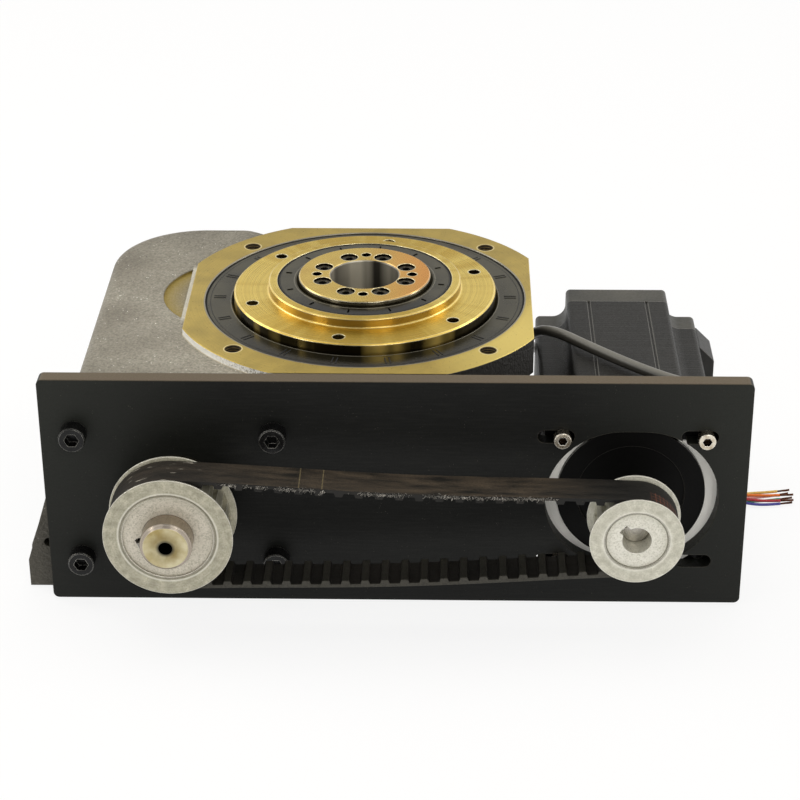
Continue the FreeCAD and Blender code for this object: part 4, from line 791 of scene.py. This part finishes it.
def rib_corner(turn, side, deep):
    """Corner of the rib after so many turns. Its flanks keep a little play to the followers beside it."""
    ray = (turn + side / 2) * follower_pitch
    offset = -side * flank_offset
    reach = rib_foot if deep else (cam_distance - rib_radius + offset * math.sin(ray)) / math.cos(ray)
    along = reach * math.sin(ray) + offset * math.cos(ray)
    radius = cam_distance - reach * math.cos(ray) + offset * math.sin(ray)
    azimuth = 2 * math.pi * turn
    return Vector((cam_axis[0] + radius * math.cos(azimuth), along, cam_axis[2] + radius * math.sin(azimuth)))


def skin_rings(bm, rings):
    """Closed skin over rings of points, with a flat face at each end. Returns its faces."""
    sides = len(rings[0])
    faces = []
    for first, second in zip(rings, rings[1:]):
        for j in range(sides):
            faces.append(bm.faces.new((first[j], first[(j + 1) % sides], second[(j + 1) % sides], second[j])))
    faces.append(bm.faces.new(list(reversed(rings[0]))))
    faces.append(bm.faces.new(rings[-1]))
    return faces


def new_piece(name, bm):
    """Mesh piece from a finished bmesh."""
    mesh = bpy.data.meshes.new(name)
    bm.to_mesh(mesh)
    bm.free()
    return new_object(name, mesh)


def make_cam_rib():
    """Rib of the globoid cam, a spiral of four-cornered sections that is cut flat at both ends of the cam."""
    bm = bmesh.new()
    steps = round(2 * rib_turns * steps_per_turn)
    rings = []
    for k in range(steps + 1):
        turn = rib_turns * (2 * k / steps - 1)
        corners = [rib_corner(turn, *corner) for corner in ((-1, False), (1, False), (1, True), (-1, True))]
        rings.append([bm.verts.new(corner) for corner in corners])
    skin_rings(bm, rings)
    for end in (-1, 1):
        everything = bm.verts[:] + bm.edges[:] + bm.faces[:]
        bmesh.ops.bisect_plane(
            bm, geom=everything, plane_co=(0, end * cam_half, 0), plane_no=(0, end, 0), clear_outer=True)
        bmesh.ops.holes_fill(bm, edges=[edge for edge in bm.edges if edge.is_boundary])
    bmesh.ops.recalc_face_normals(bm, faces=bm.faces[:])
    rib = new_piece("cam_rib", bm)
    rib.data.materials.append(cam_line_steel)
    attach(rib, "cam")


paint(input_shaft_finish(), "cam_shaft")
make_cam_rib()
paint(cam_line_steel, "cam_bearing_inner_rings", "cam_bearing_outer_rings", "cam_bearing_rollers")
paint(blackened_finish("key_steel", rgb(112, 110, 104), rgb(206, 202, 194), 0.4), "input_key")


# Mounting plate. An 8 mm steel plate, black and slightly grained, joins the gear housing and the motor.
# Black cap screws hold it to the casting, and three silver screws hold the motor in its slots.
plate_middle = 17.5 * mm
plate_top = 123.0 * mm
motor_hole = 34.8 * mm
screw_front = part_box("motor_mount_screws")[0][1]


def plate_finish():
    finish = Finish("black_plate", specular_ior_level=0.2)
    film = finish.speckle(1100, 14, 0.1)
    edges = finish.edges(0.0007)
    drawn = finish.noise((60, 60, 900), 4)
    x, _, z = finish.axes()
    # Painted light and shade: the plate is paler towards both ends and its top; patches of its edges get a
    # painted highlight.
    ends = abs(x - plate_middle).ramp(0.08, 0.17)
    edge_highlight_mask = edges * film.grain.ramp(0.35, 0.6, 0.1, 0.6)
    tone = coats(
        film.tone.spread().mix(rgb(9, 10, 8), rgb(15, 16, 14)),
        (ends * z.ramp(0, 0.12, 0.3, 0.9), rgb(39, 41, 37)),
        (drawn.ramp(0.45, 0.75, 0, 0.4), rgb(30, 31, 28)),
        # Painted highlight: the plate's top face is painted a lit brown.
        (z.ramp(plate_top, plate_top + 0.00035) * 0.9, rgb(98, 87, 71)),
        (film.specks * 0.35, rgb(130, 126, 114)),
        (edge_highlight_mask, rgb(92, 88, 78)))
    return finish.done(tone, film.grain.spread(0.4, 0.58), film.grain + drawn, 0.00008)


def mount_screw_finish():
    """Zinc-plated steel with a brown tinge, painted shade down in the hex sockets and a painted highlight on
    the edges.
    """
    finish = Finish("zinc_steel", metallic=1.0)
    x, y, z = finish.axes()
    film = finish.speckle(1500, 300, 0.06)
    edges = finish.edges(0.0005)
    reach = length(abs(x - motor_axis[0]) - motor_hole, abs(z - motor_axis[2]) - motor_hole)
    # Painted shade down in the hex sockets.
    socket = reach.ramp(0.00245, 0.00225) * y.ramp(screw_front + 0.0002, screw_front + 0.0004)
    tone = coats(
        film.tone.ramp(0.35, 0.65).mix(rgb(186, 172, 148), rgb(226, 218, 202)),
        # Painted highlight on the edges.
        (edges * 0.8, rgb(255, 252, 244)),
        (socket, rgb(46, 36, 26)))
    return finish.done(tone, film.grain.spread(0.22, 0.32), film.grain, 0.00003)


paint(plate_finish(), "mounting_plate")
paint(black_oxide, "plate_screws")
paint(mount_screw_finish(), "motor_mount_screws", "motor_mount_nuts")


# Stepper motor. Square flange of cast aluminium, a stack of black laminations and a painted rear cover.
# The flange's raised pilot is blackened, and its bright face shows as crescents in the window of the plate.
pilot_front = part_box("motor_front_flange")[0][1]
pilot_radius = 36.5 * mm
window_radius = 47.0 * mm
window_top = motor_axis[2] + 28.6 * mm
sheets_per_metre = 2000.0


def motor_flange_finish():
    finish = Finish("motor_aluminium", specular_ior_level=0.1)
    turned = finish.turning(0.0005, motor_axis, forward)
    radius = turned.radius
    skin = finish.speckle(1200, 40, 0.06)
    edges = finish.edges(0.0005)
    _, y, z = finish.axes()
    pilot = (radius.ramp(pilot_radius + 0.00015, pilot_radius - 0.00005)
             * y.ramp(pilot_front + 0.012, pilot_front + 0.011))
    # Only the front face inside the plate's window and below its top is bare; elsewhere the face is painted
    # black, a painted shade. The pilot's black is its paint.
    face = (y.ramp(pilot_front + 0.0023, pilot_front + 0.0021) * (1 - pilot)
            * radius.ramp(window_radius + 0.0004, window_radius) * z.ramp(window_top + 0.001, window_top))
    black = skin.tone.mix(rgb(3, 3, 3), rgb(7, 7, 6))
    bare = turned.rings.mix(rgb(244, 244, 240), rgb(255, 255, 253))
    # Faint painted highlight on the edges.
    tone = coats(face.mix(black, bare), (edges * 0.25, rgb(120, 118, 112)))
    gloss = face.between(0.5, 0.45) + skin.grain.spread(-0.05, 0.06)
    return finish.done(tone, gloss, skin.grain, 0.00005)


def lamination_finish():
    finish = Finish("lamination_stack", metallic=0.35)
    sheets = finish.streaks(finish.axes()[1] * sheets_per_metre, 1)
    skin = finish.speckle(1400, 45, 0.09)
    edges = finish.edges(0.0006)
    tone = coats(
        skin.tone.spread().mix(rgb(15, 14, 12), rgb(25, 24, 20)),
        (sheets.ramp(0.4, 0.7, 0, 0.5), rgb(58, 55, 47)),
        # Painted shade: faces that don't face up are painted nearly black.
        (finish.facing().ramp(0.6, 0.3, 0, 0.75), rgb(7, 7, 6)),
        (skin.specks * 0.55, rgb(150, 146, 138)),
        # Painted highlight on the edges.
        (edges * 0.6, rgb(156, 154, 148)))
    return finish.done(tone, skin.grain.spread(0.42, 0.6), skin.grain + sheets * 2, 0.00009)


def painted_finish(name, dark, light, roughness):
    """Black paint or moulded plastic with a fine orange-peel skin and a painted highlight on its edges."""
    finish = Finish(name)
    skin = finish.speckle(700, 40, 0.06)
    edges = finish.edges(0.0007)
    # Painted highlight on the edges.
    tone = coats(skin.tone.spread().mix(dark, light), (edges * 0.6, rgb(140, 138, 132)))
    return finish.done(tone, skin.grain.spread(roughness - 0.06, roughness + 0.08), skin.grain, 0.00007)


def winding_finish():
    finish = Finish("copper_winding", metallic=0.85)
    turned = finish.turning(0.0007, motor_axis, forward)
    enamel = finish.speckle(1200, 60, 0.05)
    return finish.done(
        turned.rings.mix(rgb(150, 74, 34), rgb(208, 122, 66)), enamel.tone.spread(0.24, 0.4), turned.rings,
        0.0002)


motor_line_steel = turned_finish(
    "motor_line_steel", rgb(200, 196, 188), rgb(146, 142, 134), motor_axis, forward, 0.24)
paint(motor_flange_finish(), "motor_front_flange")
paint(lamination_finish(), "motor_stator")
paint(painted_finish("motor_cover_paint", rgb(48, 47, 41), rgb(70, 68, 60), 0.46), "motor_rear_cover")
paint(painted_finish("outlet_plastic", rgb(24, 23, 20), rgb(38, 36, 32), 0.5), "cable_outlet")
paint(winding_finish(), "motor_coils")
paint(black_oxide, "motor_tie_screws")
paint(
    motor_line_steel, "motor_bearing_outer_rings", "motor_bearing_inner_rings", "motor_shaft", "motor_rotor",
    "motor_key")


# Belt pulleys. Toothed aluminium wheels with pressed side flanges, keyed to the cam shaft and to the motor.
# The larger one has weathered to a grey-green, and the motor's is newer and whiter.
input_hub, motor_hub = 22.8 * mm, 15.0 * mm


def pulley_finish(name, pale, dull, bloom, centre, hub_radius):
    """Weathered aluminium: grey side flange, a turned groove round the hub and a whiter hub face."""
    finish = Finish(name, metallic=0.4)
    turned = finish.turning(0.0011, centre, forward)
    skin = finish.speckle(1400, 45, 0.12)
    spots = finish.speckle(600, 260, 0.13)
    edges = finish.edges(0.0006)
    past_hub = turned.radius - hub_radius
    hub = past_hub.ramp(0, -0.0003)
    # Painted shade in the groove round the hub and in the dish inside it; painted highlight on the ledge
    # outside it.
    groove = past_hub.ramp(-0.0006, -0.0001) * past_hub.ramp(0.0009, 0.0001)
    ledge = past_hub.ramp(0.0005, 0.0009) * past_hub.ramp(0.0019, 0.0012)
    dish = past_hub.ramp(-0.0035, -0.0005) * hub
    tone = coats(
        spots.tone.spread().mix(pale, dull),
        (turned.rings.ramp(0.35, 0.75, 0, 0.2), bloom),
        (hub * skin.tone.spread(0.95, 0.6), bloom),
        (skin.grain.ramp(0.45, 0.7, 0, 0.7), dull),
        (dish * 0.4, dull),
        (ledge * 0.5, rgb(246, 244, 234)),
        (groove * 0.5, rgb(110, 106, 92)),
        (skin.specks * 0.5, rgb(250, 246, 232)),
        (spots.specks * 0.45, rgb(104, 100, 84)),
        # Painted highlight on the edges.
        (edges * 0.9, rgb(254, 252, 244)))
    gloss = skin.tone.spread(0.4, 0.52) + edges.between(0, -0.15)
    height = turned.rings + skin.grain * 2.0 - groove * 6.0
    return finish.done(tone, gloss, height, 0.00008)


input_aluminium = pulley_finish(
    "input_pulley_aluminium", rgb(196, 192, 172), rgb(150, 147, 128), rgb(218, 211, 198), cam_axis, input_hub)
motor_side_aluminium = pulley_finish(
    "motor_pulley_aluminium", rgb(222, 220, 206), rgb(182, 180, 164), rgb(238, 236, 226), motor_axis,
    motor_hub)
paint(input_aluminium, "input_pulley", "input_pulley_flanges")
paint(motor_side_aluminium, "motor_pulley", "motor_pulley_flanges")


# Timing belt. Neoprene with trapezoid teeth and a fabric face, worn brown along its back.
# Its front edge has frayed, and pale broken fibres of the cord stand out along the upper run.
belt_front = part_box("timing_belt")[0][1]
run_start, run_end = Vector((-0.0888, 0, 0.08968)), Vector((0.1345, 0, 0.08059))
belt_sag = 2.0 * mm
fray_from, fray_to = 0.1, 0.82
scratches = (-27.0 * mm, -16.0 * mm)


def belt_finish():
    finish = Finish("belt_rubber", specular_ior_level=0.35)
    x, y, z = finish.axes()
    skin = finish.speckle(1200, 26, 0.1)
    finish.edges(0.0004)
    rubbed = finish.noise((60, 260, 60), 5)
    upper = z.ramp(0.07, 0.074)
    level = finish.facing().ramp(0.5, 0.8)
    back = upper * level
    worn = back * rubbed.ramp(0.3, 0.72) * x.ramp(-0.075, -0.03, 0.4, 1) * x.ramp(0.13, 0.09, 0.15, 1)
    nick = (finish.noise((90, 700, 90), 2, turn=0.25).ramp(0.66, 0.7) * x.ramp(-0.072, -0.078)
            * x.ramp(-0.112, -0.106) * back)
    share = x.ramp(run_start.x, run_end.x)
    swell = (share * math.pi).calc("SINE")
    low_run = share.between(2 * cam_axis[2] - run_start.z, 2 * cam_axis[2] - run_end.z)
    above_low_back = z - (low_run - swell * swell * belt_sag)
    tooth_top = above_low_back.ramp(0.0033, 0.0038) * level * z.ramp(0.052, 0.05)
    front = y.ramp(belt_front + 0.0009, belt_front + 0.0001)
    past_motor = x.ramp(0.1395, 0.1415) * z.ramp(0.066, 0.068)
    weave = (y * 2400.0).calc("SINE") | ((x - z) * 2000.0).calc("SINE")
    bared = past_motor * weave.ramp(0.8, 0.95) * y.ramp(belt_front + 0.0105, belt_front + 0.0095)
    scratched = [abs(x - scratch).ramp(0.00034, 0.00012) * back * 0.55 for scratch in scratches]
    tone = coats(
        skin.tone.spread().mix(rgb(19, 18, 15), rgb(31, 28, 24)),
        (worn * 0.8, rgb(74, 63, 49)),
        *[(mask, rgb(128, 116, 84)) for mask in scratched],
        (nick * 0.8, rgb(190, 184, 170)),
        (tooth_top * 0.8, rgb(52, 51, 44)),
        (front * upper.between(0.5, 0), rgb(84, 82, 74)),
        (x.ramp(0.085, 0.12) * upper * 0.7, rgb(14, 14, 12)),
        (bared * 0.75, rgb(120, 72, 54)),
        (skin.grain.ramp(0.45, 0.7, 0, 0.5), rgb(16, 15, 13)),
        (skin.specks * 0.4, rgb(130, 120, 104)))
    return finish.done(tone, rubbed.spread(0.5, 0.7), skin.grain + rubbed, 0.0001)


def make_fibre_tree():
    """Short bent hairs along a hanging edge, in uneven tufts."""
    tree, given = new_group(
        "edge_fibres", "Geometry", Start="Vector", Middle="Vector", End="Vector", Count="Int", Hair="Float",
        Length="Float", Seed="Int", Finish="Material")
    edge = result(
        tree, "GeometryNodeCurveQuadraticBezier",
        {"Resolution": 32, "Start": given.start, "Middle": given.middle, "End": given.end})
    points = result(tree, "GeometryNodeCurveToPoints", {"Curve": edge, "Count": given.count}, mode="COUNT")
    stray = result(
        tree, "FunctionNodeRandomValue",
        {0: (-0.002, -0.0002, -0.0005), 1: (0.002, 0.001, 0.0002), "Seed": given.seed},
        data_type="FLOAT_VECTOR")
    points = result(tree, "GeometryNodeSetPosition", {"Geometry": points, "Offset": stray})
    where = result(tree, "GeometryNodeInputPosition")
    tuft = result(tree, "ShaderNodeTexNoise", {"Vector": where, "Scale": 120.0, "Detail": 1.0})
    bare = result(tree, "FunctionNodeCompare", {0: tuft, 1: 0.43}, data_type="FLOAT", operation="LESS_THAN")
    points = result(
        tree, "GeometryNodeDeleteGeometry", {"Geometry": points, "Selection": bare}, domain="POINT")
    half = given.length * 0.5
    bend, tip = combine(tree, X=half * 0.9, Z=half), combine(tree, Z=given.length)
    hair = result(
        tree, "GeometryNodeCurveQuadraticBezier",
        {"Resolution": 4, "Start": (0, 0, 0), "Middle": bend, "End": tip})
    ring = result(tree, "GeometryNodeCurvePrimitiveCircle", {"Resolution": 4, "Radius": given.hair})
    tube = result(tree, "GeometryNodeCurveToMesh", {"Curve": hair, "Profile Curve": ring, "Fill Caps": True})
    lean = result(
        tree, "FunctionNodeRandomValue", {0: (0.6, -1.4, -0.5), 1: (2.3, 1.4, 0.5), "Seed": given.seed + 1.0},
        data_type="FLOAT_VECTOR")
    grown = result(
        tree, "FunctionNodeRandomValue", {2: 0.35, 3: 1.3, "Seed": given.seed + 2.0}, 1, data_type="FLOAT")
    set_out = result(
        tree, "GeometryNodeInstanceOnPoints",
        {"Points": points, "Instance": tube, "Rotation": lean, "Scale": grown})
    return close_growth(tree, given, set_out)


def on_front_edge(share, drop):
    """Place on the upper front edge of the belt, at a share of the run and below the straight line."""
    return run_start.lerp(run_end, share) + Vector((0, belt_front, -0.6 * mm - drop))


def hang(share):
    return belt_sag * math.sin(math.pi * share) ** 2


paint(belt_finish(), "timing_belt")
fray_middle = (fray_from + fray_to) / 2
fray_drop = 2 * hang(fray_middle) - (hang(fray_from) + hang(fray_to)) / 2
belt_fibre = speckled_finish(
    "belt_fibre", rgb(96, 93, 86), rgb(214, 210, 202), (900.0, 300.0, 0.05), (0.35, 0.65), (0.5, 0.8))
grow(
    "belt_fibres", make_fibre_tree(), "frame", "belt_rubber", start=on_front_edge(fray_from, hang(fray_from)),
    middle=on_front_edge(fray_middle, fray_drop), end=on_front_edge(fray_to, hang(fray_to)), count=1300,
    hair=0.00005, length=0.0017, seed=7, finish=belt_fibre)


# Motor cable. A round grey cable leaves the outlet behind the motor, lies over it and comes down beside it.
# Six thin coloured leads come out of its end, each stripped to its copper strands.
cable_route = [
    (0.1812, 0.05, 0.064), (0.1812, 0.076, 0.062), (0.166, 0.104, 0.055), (0.132, 0.116, 0.047),
    (0.101, 0.1, 0.048), (0.086, 0.066, 0.06), (0.0825, 0.029, 0.082), (0.0925, -0.002, 0.1078),
    (0.1195, -0.0295, 0.1064), (0.147, -0.057, 0.1067), (0.17, -0.069, 0.1054), (0.1888, -0.075, 0.087),
    (0.1893, -0.074, 0.06), (0.1855, -0.0685, 0.033), (0.175, -0.057, 0.011), (0.1675, -0.031, 0.0034),
    (0.178, -0.0085, 0.0033), (0.199, 0.0015, 0.0033),
]
cable_diameter, cable_length = 0.0056, 0.5288
lead_routes = [
    [(0.19835, 0.00287, 0.00418), (0.2055, 0.0062, 0.0037),
     (0.2185, 0.0098, 0.0024), (0.2295, 0.0136, 0.0018)],
    [(0.199, 0.0015, 0.00505), (0.206, 0.003, 0.0044),
     (0.219, 0.0056, 0.0026), (0.231, 0.0086, 0.0018)],
    [(0.19965, 0.00013, 0.00418), (0.2065, -0.0002, 0.0033),
     (0.219, 0.001, 0.0018), (0.2305, 0.0035, 0.0013)],
    [(0.19965, 0.00013, 0.00243), (0.2065, -0.0022, 0.0016),
     (0.219, -0.0016, 0.0012), (0.2295, 0.0009, 0.0013)],
    [(0.199, 0.0015, 0.00155), (0.206, 0.0014, 0.0012),
     (0.219, 0.0033, 0.0011), (0.23, 0.006, 0.0014)],
    [(0.19835, 0.00287, 0.00243), (0.2055, 0.0047, 0.0014),
     (0.2185, 0.0077, 0.0011), (0.2285, 0.011, 0.0012)],
]
lead_diameter = 0.0015
lead_lengths = [0.0331, 0.033, 0.0313, 0.0305, 0.0315, 0.0313]
lead_colours = [
    ("tan", rgb(228, 190, 96)), ("orange", rgb(236, 118, 34)), ("red", rgb(178, 36, 44)),
    ("blue", rgb(66, 66, 150)), ("green", rgb(24, 130, 96)), ("pink", rgb(240, 170, 170)),
]
covered_share = 0.82
strand_count, strand_radius, strand_twist = 5, 0.22 * mm, 2.2
strand_circle, strand_spread = 0.3 * mm, 0.12 * mm


def lay_route(name, route, diameter, steps=8):
    """Smooth open curve that takes the points of a route as its control points."""
    data = bpy.data.curves.new(name, "CURVE")
    data.dimensions = "3D"
    data.resolution_u = steps
    line = data.splines.new("NURBS")
    line.points.add(len(route) - 1)
    for point, place in zip(line.points, route):
        point.co = (*place, 1.0)
    line.order_u = 3
    line.use_endpoint_u = True
    data.bevel_depth = diameter / 2
    data.bevel_resolution = 5
    data.use_fill_caps = diameter > 0
    return new_object(name, data)


def cable_finish():
    finish = Finish("cable_jacket", specular_ior_level=0.45)
    skin = finish.speckle(900, 50, 0.06)
    tone = coats(
        skin.tone.spread().mix(rgb(50, 49, 45), rgb(64, 62, 57)),
        # Painted highlight: the jacket is painted paler where it faces up.
        (finish.facing().ramp(0.35, 1, 0, 0.75), rgb(124, 122, 114)),
        (skin.specks * 0.4, rgb(44, 42, 39)))
    return finish.done(tone, skin.grain.spread(0.28, 0.38), skin.grain, 0.00005)


def insulation_finish(name, colour):
    darker = [c * 0.55 for c in colour[:3]] + [1]
    return speckled_finish(
        "lead_" + name, colour, darker, (1600.0, 220.0, 0.05), (0.3, 0.75, 0.0, 0.45), (0.3, 0.45),
        specular_ior_level=0.4)


def tube_along(bm, points, radius, sides, material_index):
    """Closed tube along a line."""
    rings = []
    normal = None
    for k, point in enumerate(points):
        ahead = points[min(k + 1, len(points) - 1)] - points[max(k - 1, 0)]
        ahead.normalize()
        side = Vector((0, 0, 1)).cross(ahead) if normal is None else normal - ahead * normal.dot(ahead)
        normal = side.normalized()
        other = ahead.cross(normal)
        turn = [2 * math.pi * j / sides for j in range(sides)]
        spokes = [normal * math.cos(a) + other * math.sin(a) for a in turn]
        rings.append([bm.verts.new(point + spoke * radius) for spoke in spokes])
    for face in skin_rings(bm, rings):
        face.material_index = material_index
        face.smooth = len(face.verts) == 4


def make_lead(route, length, name, colour):
    """Thin insulated lead with a bundle of bare strands at its end."""
    guide = lay_route("guide", route, 0.0, 12)
    view = bpy.context.evaluated_depsgraph_get()
    line = bpy.data.meshes.new_from_object(guide.evaluated_get(view))
    points = [v.co.copy() for v in line.vertices]
    bpy.data.objects.remove(guide)
    cut = int(len(points) * covered_share)
    bm = bmesh.new()
    tube_along(bm, points[:cut + 1], lead_diameter / 2, 12, 0)
    bare = points[cut:]
    for strand in range(strand_count):
        twisted = []
        for k, point in enumerate(bare):
            share = k / (len(bare) - 1)
            swing = 2 * math.pi * strand / strand_count + strand_twist * share
            spread = strand_circle + strand_spread * share
            twisted.append(point + Vector((0, math.cos(swing) * spread, math.sin(swing) * spread)))
        tube_along(bm, twisted, strand_radius, 6, 1)
    lead = new_piece("lead_" + name, bm)
    lead.data.materials.append(insulation_finish(name, colour))
    lead.data.materials.append(copper_strands)
    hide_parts("lead_wires")
    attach(lead, "frame")


cable = lay_route("motor_cable_jacket", cable_route, cable_diameter)
cable.data.materials.append(cable_finish())
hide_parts("motor_cable")
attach(cable, "frame")
copper_strands = speckled_finish(
    "lead_copper", rgb(30, 20, 16), rgb(120, 70, 44), (2200.0, 400.0, 0.08), (0.0, 1.0), (0.3, 0.55),
    metallic=0.9)
for route, lead_length, named_colour in zip(lead_routes, lead_lengths, lead_colours):
    make_lead(route, lead_length, *named_colour)
